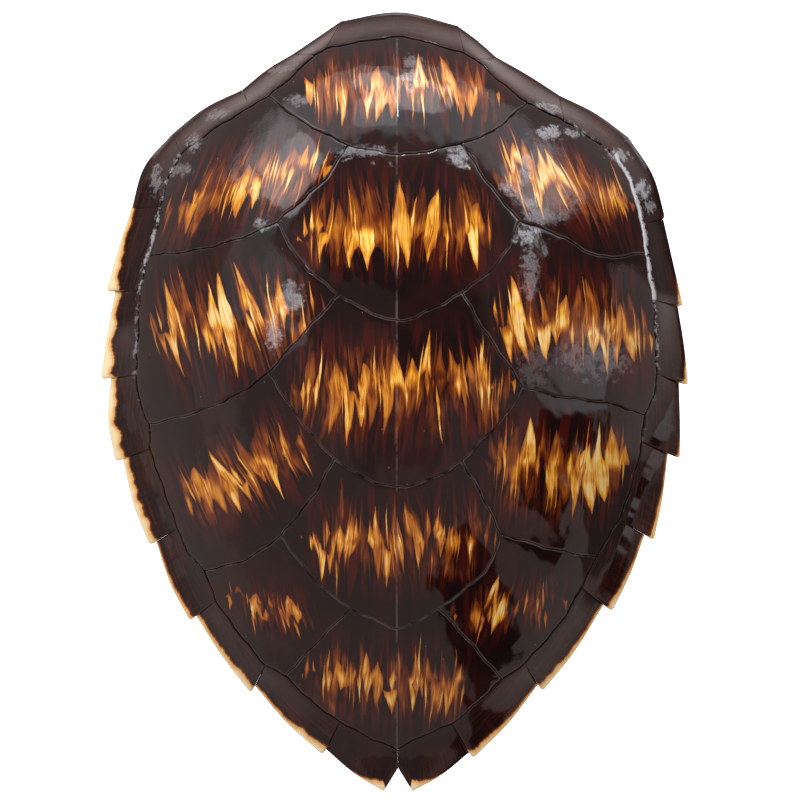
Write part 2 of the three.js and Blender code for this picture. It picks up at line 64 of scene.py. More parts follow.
# ---------------------------------------------------------------- driving sizes
HIGHEST_RELIEF = 0.9  # how far a ripple or a lip may stand above the plain dome
KEEL = {"rise": 4, "half_width": 22, "crest": 0.8}
DOME_HEIGHT = cad_high.z / MM - KEEL["rise"] - HIGHEST_RELIEF
DOME_TOP = (2.0, 45.0)
MARGIN_HEIGHT = {"side": 36, "head_rise": 19, "end_rise": 11}
SHOULDER = {"side": 0.25, "head": 0.2}
PLAN_RADIUS = {"mean": 260, "waves": (-19, 34, -13, 7)}

SCUTE_THICKNESS = 2.4
SEAM_GAP = 0.24
MARGIN_GAP = 0.08  # the marginals grip each other, so that no light comes through between them
SEAM_STEP = 1.7
LIP = {"drop": 0.85, "width": 1.05, "valley": 0.22, "valley_width": 2.6}
OVERLAP = {"lift": 0.45, "sink": 0.3, "width": 7.0, "smoothing": 9}
RIPPLES = (  # height, wavelength, heading in degrees, phase
    (0.22, 83, 24, 0.3),
    (0.17, 57, 108, 1.9),
    (0.09, 31, 66, 4.1),
    (0.045, 19, 151, 2.2),
    (0.03, 12.5, 12, 5.3),
)
SEAM_WOBBLES = ((0.55, 31), (0.2, 13), (0.08, 7))  # height, wavelength
WOBBLE_FADE = 7

# Rubbed spots: the polish is rougher and scratched there, and a pale sheen is painted into the colour as a
# painted reflection of the studio's lights.
RUBBED_SHEEN_SPOTS = (  # the middle of each, how far it reaches sideways and lengthways, and how pale it is
    (-86, 90, 10, 13, 0.4),
    (-102, 58, 8, 14, 0.5),
    (-112, 152, 7, 6, 0.4),
    (172, 36, 34, 17, 0.22),
    (118, 30, 14, 20, 0.12),
    (-26, 214, 24, 5, 0.3),
    (54, 211, 9, 9, 0.5),
    (98, 184, 8, 8, 0.4),
    (112, 200, 6, 15, 0.4),
    (135, 236, 13, 7, 0.6),
    (137, 260, 12, 6, 0.55),
    (156, 236, 9, 5, 0.5),
    (198, 220, 13, 6, 0.6),
    (220, 190, 8, 11, 0.9),
    (227, 176, 6, 8, 0.6),
    (128, 160, 18, 8, 0.22),
    (17, 288, 9, 18, 0.25),
    (-85, 262, 10, 6, 0.3),
    (-188, 205, 12, 6, 0.3),
    (-213, 198, 6, 14, 0.35),
    (-158, 256, 12, 6, 0.3),
    (-100, 296, 14, 5, 0.25),
    (-178, 230, 9, 9, 0.35),
    (112, 142, 11, 8, 0.6),
    (115, 112, 8, 26, 0.28),
)

RUBBED_SHEEN_REACH = 1.4  # a spot fades out at this share of its reach, and is full up to 1 less

# The lacquer is wrinkled on the shoulders: from where towards the head, and from where to the sides.
WRINKLED = {"ahead": 70, "ahead_over": 90, "aside": 70, "aside_over": 50}

RIM = {"thickness": 3, "slope": 0.45, "round": 1.5, "waist": 1.4, "corner": 4.0, "inset": 0.4}
LEAF = {"width": 24, "most_share": 0.8}
FOLD_DEPTH = 5
HEAD_LIFT = {"height": 12, "from": 0.35}

BONE = {"thickness": 5, "gap": 1.8, "rim_gap": 3.4, "edge_inset": 13, "tail_inset": 12, "spokes": 288}
BONE_EDGE = {"thickness": 1, "least_width": 6, "foot": 0.05}
BONE_ROWS = {"top": 26, "wedge": 8, "under": 70}
BONE_HUB = 0.02  # the share of the way out at which the rows begin, round the middle point
BONE_SUTURE = {"depth": 0.45, "half_width": 1.1, "zigzag": 1.6, "zigzag_step": 2.1}
BONE_ROOT = 1.2  # how far down in the bone the ribs and the spine begin
TAIL_NOTCH_BEARING = math.radians(168)
SPINE = {
    "half_width": 9,
    "depth": 7.5,
    "sides": 24,
    "from": 268,
    "to": -262,
    "steps": 150,
    "vertebrae": 11,
    "swelling": 0.15,
    "end_taper": 0.12,
    "end_girth": 0.25,
}
RIBS = {
    "pairs": 8,
    "first_y": 226,
    "pitch": 57,
    "half_width": 5.5,
    "depth": 4,
    "sides": 20,
    "steps": 60,
    "reach": 0.9,
    "tip_girth": 0.35,
}
RIB_BEND = (0.5, 0.35)
RIB_BEARING = (36, 15.6)  # degrees from the head: the first rib's, and the step to the next

CAMERA = {"place": (4.7, 2.55, 2400), "lens": 120, "sensor": 36}

# ---------------------------------------------------------------- the seams
JUNCTIONS = {
    "nuchal_left": (-60, 312),
    "nuchal_right": (61, 307),
    "m1_left": (-71, 306),
    "m1_right": (72, 300),
    "v1_left": (-110, 268),
    "v1_right": (116, 262),
    "m2_left": (-127, 259),
    "m2_right": (148, 248),
    "m3_left": (-189, 221),
    "m3_right": (195, 220),
    "m4_left": (-207, 173),
    "m4_right": (218, 158),
    "c1_left": (-217, 130),
    "c1_right": (221, 132),
    "m5_left": (-225, 100),
    "m5_right": (228, 91),
    "m6_left": (-230, 25),
    "m6_right": (233, 26),
    "c2_left": (-218, -19),
    "c2_right": (222, -11),
    "m7_left": (-219, -41),
    "m7_right": (220, -35),
    "m8_left": (-194, -112),
    "m8_right": (201, -104),
    "c3_left": (-169, -149),
    "c3_right": (179, -137),
    "m9_left": (-159, -176),
    "m9_right": (166, -164),
    "m10_left": (-115, -233),
    "m10_right": (115, -231),
    "c4_left": (-97, -242),
    "c4_right": (95, -245),
    "m11_left": (-49, -284),
    "m11_right": (51, -286),
    "tail": (2, -311),
    "v1_c1_left": (-40, 220),
    "v1_c1_right": (57, 222),
    "v2_side_left": (-100, 154),
    "v2_side_right": (107, 155),
    "v2_c2_left": (-47, 91),
    "v2_c2_right": (57, 93),
    "v3_side_left": (-107, 26),
    "v3_side_right": (109, 14),
    "v3_c3_left": (-51, -47),
    "v3_c3_right": (57, -49),
    "v4_side_left": (-98, -114),
    "v4_side_right": (91, -112),
    "v4_c4_left": (-38, -177),
    "v4_c4_right": (38, -177),
}
CURVED_SEAMS = {
    "nuchal_left nuchal_right": [(-32, 317), (8, 322), (36, 314)],
    "m1_left v1_left": [(-90, 286)],
    "m1_right v1_right": [(96, 277)],
    "m2_left m3_left": [(-159, 241)],
    "m2_right m3_right": [(172, 234)],
    "m3_left m4_left": [(-200, 200)],
    "m3_right m4_right": [(209, 193)],
    "m4_left c1_left": [(-211, 147)],
    "m5_left m6_left": [(-227, 60)],
    "m5_right m6_right": [(231, 56)],
    "m6_left c2_left": [(-227, 1)],
    "m6_right c2_right": [(230, 6)],
    "m7_left m8_left": [(-207, -75)],
    "m7_right m8_right": [(213, -68)],
    "m8_left c3_left": [(-184, -133)],
    "m8_right c3_right": [(190, -119)],
    "m9_left m10_left": [(-139, -204)],
    "m9_right m10_right": [(147, -195)],
    "c4_left m11_left": [(-74, -265)],
    "c4_right m11_right": [(74, -266)],
    "m11_left tail": [(-23, -299)],
    "m11_right tail": [(26, -297)],
    "v1_left v1_c1_left": [(-82, 244)],
    "v1_right v1_c1_right": [(82, 232)],
    "v1_c1_left v1_c1_right": [(-19, 215), (8, 211), (35, 216)],
    "v1_c1_left v2_side_left": [(-58, 192)],
    "v1_c1_right v2_side_right": [(80, 187)],
    "v2_side_left c1_left": [(-132, 141), (-174, 132)],
    "v2_side_right c1_right": [(138, 145), (178, 127)],
    "v2_side_left v2_c2_left": [(-79, 119)],
    "v2_side_right v2_c2_right": [(93, 126), (80, 111)],
    "v2_c2_left v2_c2_right": [(-22, 77), (4, 69), (32, 79)],
    "v2_c2_left v3_side_left": [(-80, 56)],
    "v2_c2_right v3_side_right": [(71, 69)],
    "v3_side_left c2_left": [(-132, 9), (-172, -8)],
    "v3_side_right c2_right": [(142, 5), (188, -1)],
    "v3_side_left v3_c3_left": [(-88, -3), (-68, -29)],
    "v3_side_right v3_c3_right": [(94, -11), (76, -29)],
    "v3_c3_left v3_c3_right": [(-27, -62), (3, -71), (33, -63)],
    "v3_c3_left v4_side_left": [(-68, -77)],
    "v3_c3_right v4_side_right": [(74, -78)],
    "v4_side_left c3_left": [(-129, -136)],
    "v4_side_right c3_right": [(137, -127)],
    "v4_side_left v4_c4_left": [(-80, -139), (-60, -161)],
    "v4_side_right v4_c4_right": [(82, -139), (58, -162)],
    "v4_c4_left v4_c4_right": [(-18, -187), (4, -195), (21, -187)],
    "v4_c4_left c4_left": [(-75, -217)],
    "v4_c4_right c4_right": [(66, -209)],
}
VERTEBRAL_OUTLINES = (
    (
        "nuchal_left", "nuchal_right", "m1_right", "v1_right",
        "v1_c1_right", "v1_c1_left", "v1_left", "m1_left",
    ),
    ("v1_c1_left", "v1_c1_right", "v2_side_right", "v2_c2_right", "v2_c2_left", "v2_side_left"),
    ("v2_c2_left", "v2_c2_right", "v3_side_right", "v3_c3_right", "v3_c3_left", "v3_side_left"),
    ("v3_c3_left", "v3_c3_right", "v4_side_right", "v4_c4_right", "v4_c4_left", "v4_side_left"),
    ("v4_c4_left", "v4_c4_right", "c4_right", "m11_right", "tail", "m11_left", "c4_left"),
)
COSTAL_OUTLINES = (
    ("v1", "v1_c1", "v2_side", "c1", "m4", "m3", "m2"),
    ("v2_side", "v2_c2", "v3_side", "c2", "m6", "m5", "c1"),
    ("v3_side", "v3_c3", "v4_side", "c3", "m8", "m7", "c2"),
    ("v4_side", "v4_c4", "c4", "m10", "m9", "c3"),
)
MARGINAL_INNER = (
    ("nuchal", "m1"),
    ("m1", "v1", "m2"),
    ("m2", "m3"),
    ("m3", "m4"),
    ("m4", "c1", "m5"),
    ("m5", "m6"),
    ("m6", "c2", "m7"),
    ("m7", "m8"),
    ("m8", "c3", "m9"),
    ("m9", "m10"),
    ("m10", "c4", "m11"),
    ("m11", "tail"),
)
RIM_SEAMS = {
    "left": (
        (-48, 342), (-91, 313), (-137, 281), (-200, 242), (-237, 175), (-252, 100), (-256, 22),
        (-245, -51), (-215, -125), (-179, -192), (-126, -255), (-62, -312), (3, -329),
    ),
    "right": (
        (56, 338), (91, 310), (148, 276), (210, 239), (242, 165), (255, 87), (256, 18),
        (246, -46), (225, -119), (188, -182), (129, -254), (67, -315), (3, -329),
    ),
}
RIM_BULGE = {
    "left": (0, 2, 4, 8, 1, 1, 4.5, 3, 3, 2, 3, 2.5),
    "right": (1, 1, 3, 6, 0, 1, 0.5, 1.5, 2, 3, 3, 2.5),
}
TIP_OVERHANG = {
    "left": (0, 0, 0, 0, 8, 9, 7, 7, 7.5, 8, 6, 0),
    "right": (0, 0, 0, 2, 5, 9, 12, 10, 10, 7.5, 6.5, 0),
}
TAIL_TIPS = {"left": (-10, -350), "right": (16, -350)}
NUCHAL_FRONT = (4, 350)

# ---------------------------------------------------------------- the markings
# Each band of flames: its two ends, how far the tallest flames reach to the head and to the tail, how
# far their tips lean to the right in degrees, how closely they run together and how golden (0 to 1).
FLAME_BANDS = {
    "vertebral_1": (((-80, 273), (92, 270)), (36, 44), -3, 0.7, 0.05),
    "vertebral_2": (((-82, 146), (88, 148)), (50, 40), 0, 0.85, 0.5),
    "vertebral_3": (((-88, 15), (94, 15)), (46, 58), 1, 0.6, 0.4),
    "vertebral_4": (((-74, -117), (84, -116)), (42, 44), 0, 0.1, 0.2),
    "vertebral_5": (((-77, -241), (68, -248)), (38, 46), 2, 0.5, 0.25),
    "costal_left_1": (((-198, 172), (-60, 205)), (46, 48), 17, 0.75, 0.5),
    "costal_left_2": (((-213, 64), (-64, 74)), (52, 60), -13, 0.5, 0.2),
    "costal_left_3": (((-192, -88), (-76, -32)), (38, 42), -22, 0.7, 0.3),
    "costal_left_4": (((-143, -177), (-70, -182)), (22, 24), -8, 0.6, 0.1),
    "costal_right_1": (((88, 199), (208, 178)), (46, 50), -17, 0.8, 0.2),
    "costal_right_2": (((84, 72), (226, 57)), (56, 46), -4, 0.8, 0.3),
    "costal_right_3": (((80, -50), (208, -60)), (48, 56), 4, 0.8, 0.4),
    "costal_right_4": (((55, -184), (148, -175)), (30, 26), 8, 0.45, 0.2),
}
BAND_FADE = 26  # over what length a band gains its full strength
STRENGTH_AT_END = 0.35
PATTERN_STEP = 1000  # moves the pattern on, so that no two plates share a stretch of it

# How wide the pale edge of each marginal is at its head end and at its tail corner.
PALE_EDGE = {
    "left": (
        (0, 0), (0, 0), (0, 0), (0, 1), (3, 9), (5, 9),
        (6, 8), (5, 7), (1.5, 4), (3, 7), (2, 7), (0.5, 11),
    ),
    "right": (
        (0, 0), (0, 0), (0, 0), (0, 1), (0, 5), (0, 6),
        (0, 3), (1, 4), (1.5, 5), (2, 6), (2, 6), (0.5, 11),
    ),
}

# How strong the painted highlight is along the inner edge of each marginal: a pale strip where the rim
# would catch the light.
HIGHLIGHT_STRIPS = {
    "left": (0, 0, 0, 0.25, 0.4, 0.25, 0.1, 0, 0, 0, 0, 0),
    "right": (0, 0, 0.2, 0.7, 0.75, 0.3, 0.1, 0, 0, 0, 0, 0),
}
STRIP_SIZE = {"width": 3.4, "reach": 1.5}
TIP_FADE = 0.04  # the share of the rim over which the pale edge ends, past the tail tip
PALE_GROWTH = {"whole": 1.5, "corner": 5}  # how late a pale edge widens: all along it, or at its corner
STREAKS = {"side": 1.0, "tail": 0.25}
# The keel's painted highlight, a pale line along its crest, is drawn as if a seam lay beside it, at this
# share of the distance and this far.
KEEL_HIGHLIGHT = {"share": 0.8, "off": 0.3}


def mm(*values):
    """Millimetres as metres."""
    return tuple(value * MM for value in values)


# ---------------------------------------------------------------- the surface of the back
def bearing_of(x, y):
    """The bearing from the top of the dome: 0 at the head, pi at the tail."""
    return np.arctan2(x - DOME_TOP[0], y - DOME_TOP[1])


def dome_radius(bearing):
    waves = (size * np.cos((i + 1) * bearing) for i, size in enumerate(PLAN_RADIUS["waves"]))
    return PLAN_RADIUS["mean"] + sum(waves)


def dome_height(x, y):
    bearing = bearing_of(x, y)
    ahead = np.cos(bearing)
    out2 = ((x - DOME_TOP[0]) ** 2 + (y - DOME_TOP[1]) ** 2) / dome_radius(bearing) ** 2
    rises = MARGIN_HEIGHT["head_rise"] * ahead + MARGIN_HEIGHT["end_rise"] * ahead**2
    margin = MARGIN_HEIGHT["side"] + rises
    shoulder = SHOULDER["side"] + SHOULDER["head"] * ahead
    fall = out2 * (1 - shoulder + shoulder * out2)
    from_keel = np.hypot(x - DOME_TOP[0], KEEL["crest"]) - KEEL["crest"]
    keel = KEEL["rise"] * np.exp(-from_keel / KEEL["half_width"]) * np.maximum(0, 1 - out2**2)
    return DOME_HEIGHT - (DOME_HEIGHT - margin) * fall + keel


def dome_normal(x, y):
    slope_x = (dome_height(x + SLOPE_STEP, y) - dome_height(x - SLOPE_STEP, y)) / (2 * SLOPE_STEP)
    slope_y = (dome_height(x, y + SLOPE_STEP) - dome_height(x, y - SLOPE_STEP)) / (2 * SLOPE_STEP)
    normal = np.stack([-slope_x, -slope_y, np.ones_like(slope_x)], axis=-1)
    return normal / np.linalg.norm(normal, axis=-1, keepdims=True)


def on_dome(plan, depth=0.0):
    """The points a given depth below the outer surface, straight in through the shell."""
    x, y = plan[..., 0], plan[..., 1]
    surface = np.stack([x, y, dome_height(x, y)], axis=-1)
    return surface - dome_normal(x, y) * np.asarray(depth)[..., None]


def ripple(x, y):
    """The slow unevenness of a plate that was scraped and polished by hand."""
    total = np.zeros_like(x)
    for height, wavelength, heading, phase in RIPPLES:
        turn = math.radians(heading)
        along = x * math.cos(turn) + y * math.sin(turn)
        across = y * math.cos(turn) - x * math.sin(turn)
        drift = 0.9 * np.sin(2 * math.pi * across / (wavelength * 1.7) + phase)
        total = total + height * np.sin(2 * math.pi * along / wavelength + phase + drift)
    return total


def rim_floor(x, y):
    """The underside of the rim: on the ground, but for the lift over the neck."""
    ahead = (np.cos(bearing_of(x, y)) - HEAD_LIFT["from"]) / (1 - HEAD_LIFT["from"])
    return HEAD_LIFT["height"] * np.clip(ahead, 0, 1) ** 2


def rubbed_and_sheen(x, y):
    """How far the polish is worn at each point (1 in a spot's middle), how strong its painted sheen is, and
    how wrinkled.
    """
    worn, pale = np.zeros_like(x), np.zeros_like(x)
    for at_x, at_y, half_x, half_y, glow in RUBBED_SHEEN_SPOTS:
        here = np.clip(RUBBED_SHEEN_REACH - np.hypot((x - at_x) / half_x, (y - at_y) / half_y), 0, 1)
        pale = np.where(here > worn, glow, pale)
        worn = np.maximum(worn, here)
    wrinkled = np.clip((y - WRINKLED["ahead"]) / WRINKLED["ahead_over"], 0, 1)
    wrinkled *= np.clip((np.abs(x) - WRINKLED["aside"]) / WRINKLED["aside_over"], 0, 1)
    return np.column_stack([worn, pale, wrinkled])


def lip(distance):
    """How far a plate's surface drops towards a seam."""
    turn = np.clip(1 - distance / LIP["width"], 0, 1)
    return LIP["drop"] * turn**2 + LIP["valley"] * np.exp(-distance / LIP["valley_width"])


# ---------------------------------------------------------------- lines
def length_along(line):
    return np.concatenate([[0], np.cumsum(np.linalg.norm(np.diff(line, axis=0), axis=1))])


def at_lengths(line, lengths):
    along = length_along(line)
    return np.stack([np.interp(lengths, along, line[:, k]) for k in range(line.shape[1])], axis=1)


def smooth_curve(points, step):
    """A centripetal Catmull-Rom curve through the points, in equal steps."""
    points = np.array(points, float)
    first = 2 * points[0] - points[1]
    last = 2 * points[-1] - points[-2]
    knots = np.vstack([first, points, last])
    t = np.linspace(0, 1, CURVE_STEPS, endpoint=False)[:, None]
    pieces = []
    for a, b, c, d in zip(knots, knots[1:], knots[2:], knots[3:]):
        before, during, after = (math.sqrt(np.linalg.norm(q - p)) for p, q in ((a, b), (b, c), (c, d)))
        leave = during * ((b - a) / before - (c - a) / (before + during) + (c - b) / during)
        arrive = during * ((c - b) / during - (d - b) / (during + after) + (d - c) / after)
        bend = 3 * (c - b) - 2 * leave - arrive
        twist = 2 * (b - c) + leave + arrive
        pieces.append(b + leave * t + bend * t**2 + twist * t**3)
    pieces.append(points[-1:])
    dense = np.vstack(pieces)
    total = length_along(dense)[-1]
    return at_lengths(dense, np.linspace(0, total, max(2, round(total / step) + 1)))


def wobbled(line, seed):
    """The line with the small wanderings of a grown seam. Its ends stay where they are."""
    draw = np.random.default_rng(seed)
    along = length_along(line)
    tangent = np.gradient(line, axis=0)
    tangent /= np.linalg.norm(tangent, axis=1, keepdims=True)
    shift = np.zeros(len(line))
    for height, wavelength in SEAM_WOBBLES:
        shift += height * np.sin(2 * math.pi * along / wavelength + draw.uniform(0, 2 * math.pi))
    shift *= np.clip(np.minimum(along, along[-1] - along) / WOBBLE_FADE, 0, 1)
    return line + np.stack([-tangent[:, 1], tangent[:, 0]], axis=1) * shift[:, None]


seams_drawn = {}


def seam(start, end):
    """The seam between two junctions, in the order asked for, and the same points from either side."""
    straight = f"{start} {end}" not in CURVED_SEAMS and f"{end} {start}" not in CURVED_SEAMS
    flipped = f"{end} {start}" in CURVED_SEAMS or (straight and start > end)
    a, b = (end, start) if flipped else (start, end)
    key = f"{a} {b}"
    if key not in seams_drawn:
        points = [JUNCTIONS[a], *CURVED_SEAMS.get(key, []), JUNCTIONS[b]]
        seams_drawn[key] = wobbled(smooth_curve(points, SEAM_STEP), zlib.crc32(key.encode()))
    line = seams_drawn[key]
    return line[::-1] if flipped else line


def chain(names):
    pieces = [seam(a, b)[:-1] for a, b in zip(names, names[1:])]
    return np.vstack([*pieces, [JUNCTIONS[names[-1]]]])


def sided(names, side):
    return [name if name == "tail" else f"{name}_{side}" for name in names]


# ---------------------------------------------------------------- outlines and fills
def signed_area(outline):
    x, y = outline.T
    return 0.5 * np.sum(x * np.roll(y, -1) - np.roll(x, -1) * y)


def outward_normals(outline, smoothing=1):
    """The outward direction at each point of an anticlockwise outline."""
    along = np.roll(outline, -1, axis=0) - np.roll(outline, 1, axis=0)
    normal = np.stack([along[:, 1], -along[:, 0]], axis=1)
    normal /= np.linalg.norm(normal, axis=1, keepdims=True)
    blurred = sum(np.roll(normal, k, axis=0) for k in range(-smoothing + 1, smoothing))
    return blurred / np.maximum(np.linalg.norm(blurred, axis=1, keepdims=True), 1e-9)


def is_inside(points, outline):
    """Whether each point lies inside a closed outline."""
    x, y = points[:, 0, None], points[:, 1, None]
    ax, ay = outline.T
    bx, by = np.roll(outline, -1, axis=0).T
    crosses = (ay > y) != (by > y)
    rise = np.where(by == ay, 1e-9, by - ay)
    where = ax + (y - ay) * (bx - ax) / rise
    return np.sum(crosses & (x < where), axis=1) % 2 == 1


def nearest_on(points, outline):
    """The distance from each point to a closed outline, and the number of the outline's point there."""
    start, end = outline, np.roll(outline, -1, axis=0)
    edge = end - start
    edge_length2 = np.sum(edge**2, axis=1)
    offset = points[:, None, :] - start[None, :, :]
    share = np.clip(np.sum(offset * edge, axis=2) / edge_length2, 0, 1)
    gap = np.linalg.norm(offset - share[..., None] * edge, axis=2)
    nearest = np.argmin(gap, axis=1)
    rows = np.arange(len(points))
    return gap[rows, nearest], nearest


def hex_grid(outline, spacing):
    low, high = outline.min(axis=0), outline.max(axis=0)
    rows = []
    for i, y in enumerate(np.arange(low[1], high[1], spacing * math.sqrt(3) / 2)):
        x = np.arange(low[0] + (i % 2) * spacing / 2, high[0], spacing)
        rows.append(np.stack([x, np.full_like(x, y)], axis=1))
    return np.vstack(rows)


def fill(outline, inner_points):
    """Triangles over an outline and the points inside it. The outline's points come first."""
    points = np.vstack([outline, inner_points])
    count = len(outline)
    edges = [(i, (i + 1) % count) for i in range(count)]
    made, _, faces, origins, _, _ = delaunay_2d_cdt(
        [Vector(p) for p in points], edges, [], 1, 1e-5
    )
    plan = np.array([tuple(p) for p in made])
    number = {origin[0]: i for i, origin in enumerate(origins) if origin}
    ring = [number[i] for i in range(count)]
    turned = []
    for face in faces:
        a, b, c = (plan[i] for i in face)
        area = (b[0] - a[0]) * (c[1] - a[1]) - (c[0] - a[0]) * (b[1] - a[1])
        turned.append(tuple(face) if area > 0 else tuple(face)[::-1])
    return plan, turned, ring


# ---------------------------------------------------------------- meshes
def make_piece(name, vertices, faces, flat_faces=(), attributes=None):
    """A mesh object from points in mm. Attributes are one number or three numbers for each point."""
    mesh = bpy.data.meshes.new(name)
    mesh.from_pydata((np.asarray(vertices) * MM).tolist(), [], [tuple(map(int, f)) for f in faces])
    flat = set(flat_faces)
    mesh.polygons.foreach_set("use_smooth", [i not in flat for i in range(len(mesh.polygons))])
    for label, values in (attributes or {}).items():
        values = np.asarray(values, np.float32)
        kind, field = ("FLOAT", "value") if values.ndim == 1 else ("FLOAT_VECTOR", "vector")
        mesh.attributes.new(label, kind, "POINT").data.foreach_set(field, values.ravel())
    mesh.validate()
    mesh.update()
    piece = bpy.data.objects.new(name, mesh)
    bpy.context.scene.collection.objects.link(piece)
    return piece


def fit_piece(piece, material, slot, *nodes):
    piece.data.materials.append(material)
    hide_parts(*nodes)
    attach(piece, "root")


# ---------------------------------------------------------------- the plates of the back
LIP_STEPS = (0.14, 0.38, 0.72, 1.15, 1.8, 2.8, 4.4, 6.6)
PLATE_GRID = 2.7
UNDER_GRID = 9.0
KEEL_ROWS = (0.0, 0.55, 1.3, 2.6)
KEEL_STEP = 1.7


def plate_outline(names):
    outline = chain([*names, names[0]])[:-1]
    if signed_area(outline) < 0:
        outline = outline[::-1]
    return outline - outward_normals(outline) * SEAM_GAP / 2


def add_keel_crossings(outline):
    """Puts a point where the outline crosses the line of the keel."""
    keel = DOME_TOP[0]
    points = []
    for a, b in zip(outline, np.roll(outline, -1, axis=0)):
        points.append(a)
        if (a[0] - keel) * (b[0] - keel) < 0:
            points.append(a + (b - a) * (keel - a[0]) / (b[0] - a[0]))
    return np.array(points)


def keel_points(outline):
    """Rows of points along the keel, so that its crest comes out sharp."""
    low, high = outline[:, 1].min(), outline[:, 1].max()
    y = np.arange(low + KEEL_STEP, high, KEEL_STEP)
    rows = [
        np.stack([np.full_like(y, DOME_TOP[0] + side * x), y], axis=1)
        for x in KEEL_ROWS
        for side in ((1,) if x == 0 else (-1, 1))
    ]
    return np.vstack(rows)


def plate_plan(outline, on_keel):
    """The points inside a plate's outline: rows beside its seams, the keel, and an even grid."""
    centre = outline.mean(axis=0)
    towards = centre - outline
    towards /= np.linalg.norm(towards, axis=1, keepdims=True)
    rows = [outline + towards * step for step in LIP_STEPS]
    grid = hex_grid(outline, PLATE_GRID)
    clearance = PLATE_GRID * 0.6
    if on_keel:
        grid = grid[np.abs(grid[:, 0] - DOME_TOP[0]) > KEEL_ROWS[-1] + clearance]
        grid = np.vstack([grid, keel_points(outline)])
    grid = grid[is_inside(grid, rows[-1])]
    distance, _ = nearest_on(grid, rows[-1])
    return np.vstack([*rows, grid[distance > clearance * 0.6]])


def plate_relief(plan, outline):
    """Heights over the plain dome: ripples, the seam's lip, and the overlap of each plate on the next."""
    distance, nearest = nearest_on(plan, outline)
    facing = outward_normals(outline, OVERLAP["smoothing"])[nearest]
    behind = np.clip(-facing[:, 1], 0, 1)
    ahead = np.clip(facing[:, 1], 0, 1)
    near = np.exp(-distance / OVERLAP["width"])
    step = (OVERLAP["lift"] * behind - OVERLAP["sink"] * ahead) * near
    return ripple(plan[:, 0], plan[:, 1]) + step - lip(distance)


def flame_attributes(plan, band, number):
    """Where each point lies in its plate's band of flames."""
    ends, (head, tail), lean, gathered, gold = band
    start, end = (np.array(p, float) for p in ends)
    middle = (start + end) / 2
    length = np.linalg.norm(end - start)
    along = (end - start) / length
    turn = math.radians(lean)
    rise = np.array([math.sin(turn), math.cos(turn)])
    offset = plan - middle
    cross = along[0] * rise[1] - along[1] * rise[0]
    u = (offset[:, 0] * rise[1] - offset[:, 1] * rise[0]) / cross
    t = (along[0] * offset[:, 1] - along[1] * offset[:, 0]) / cross
    strength = np.clip((length / 2 - np.abs(u)) / BAND_FADE + STRENGTH_AT_END, -1, 1)
    form = np.tile([head, tail, gathered], (len(plan), 1))
    place = np.stack([u + PATTERN_STEP * (number + 1), t, strength], axis=1)
    return {"flame_place": place, "flame_form": form, "flame_gold": np.full(len(plan), gold)}


def back_plate(name, names, band, number, on_keel=False):
    outline = plate_outline(names)
    if on_keel:
        outline = add_keel_crossings(outline)
    top_plan, top_faces, top_ring = fill(outline, plate_plan(outline, on_keel))
    grid = hex_grid(outline, UNDER_GRID)
    grid = grid[is_inside(grid, outline)]
    distance, _ = nearest_on(grid, outline)
    under_plan, under_faces, under_ring = fill(outline, grid[distance > UNDER_GRID / 3])
    top = on_dome(top_plan, -plate_relief(top_plan, outline))
    under = on_dome(under_plan, np.full(len(under_plan), SCUTE_THICKNESS))
    first = len(top)
    faces = list(top_faces)
    faces += [tuple(first + i for i in face[::-1]) for face in under_faces]
    smooth_count = len(faces)
    for i in range(len(outline)):
        j = (i + 1) % len(outline)
        faces.append((top_ring[j], top_ring[i], first + under_ring[i], first + under_ring[j]))
    plan = np.vstack([top_plan, under_plan])
    attributes = flame_attributes(plan, band, number)
    attributes["from_seam"], _ = nearest_on(plan, outline)
    # The keel gets the seams' painted highlight too.
    if on_keel:
        beside = np.abs(plan[:, 0] - DOME_TOP[0]) * KEEL_HIGHLIGHT["share"] + KEEL_HIGHLIGHT["off"]
        attributes["from_seam"] = np.minimum(attributes["from_seam"], beside)
    attributes["rubbed_and_sheen"] = rubbed_and_sheen(plan[:, 0], plan[:, 1])
    return make_piece(
        name,
        np.vstack([top, under]),
        faces,
        range(smooth_count, len(faces)),
        attributes,
    )


# ---------------------------------------------------------------- the marginals
MARGIN_STEP = 1.6
END_STEPS = (0.0, 0.14, 0.38, 0.72, 1.15, 1.8, 2.8)
ACROSS_TOP = 26
LIP_ROWS = 6  # how many of the lip's steps a marginal has along its inner edge
ACROSS_UNDER = 14
ACROSS_LEAF = 8
EDGE_TURNS = (70, 45, 20, 0, -30, -60)  # degrees round the rim's edge


def rim_curve(start, end, bulge):
    """The rim of one marginal, bowed out, from its head-end seam to its tail corner."""
    start, end = np.array(start, float), np.array(end, float)
    along = (end - start) / np.linalg.norm(end - start)
    out = np.array([along[1], -along[0]])
    middle = (start + end) / 2
    if np.dot(out, middle - np.array(DOME_TOP)) < 0:
        out = -out
    return [tuple(start), tuple(middle + out * bulge), tuple(end)]


def tail_corner(side, index):
    """The tail-end corner of a marginal, which stands out past the next one."""
    inner = np.array(JUNCTIONS[f"m{index + 1}_{side}"], float)
    rim = np.array(RIM_SEAMS[side][index + 1], float)
    out = (rim - inner) / np.linalg.norm(rim - inner)
    return tuple(rim + out * TIP_OVERHANG[side][index])


def stations(length):
    """Lengths along a marginal, closer together towards its two end seams."""
    near = np.array(END_STEPS)
    middle = np.linspace(near[-1], length - near[-1], max(3, round((length - 2 * near[-1]) / MARGIN_STEP)))
    return np.concatenate([near[:-1], middle, length - near[-2::-1]])


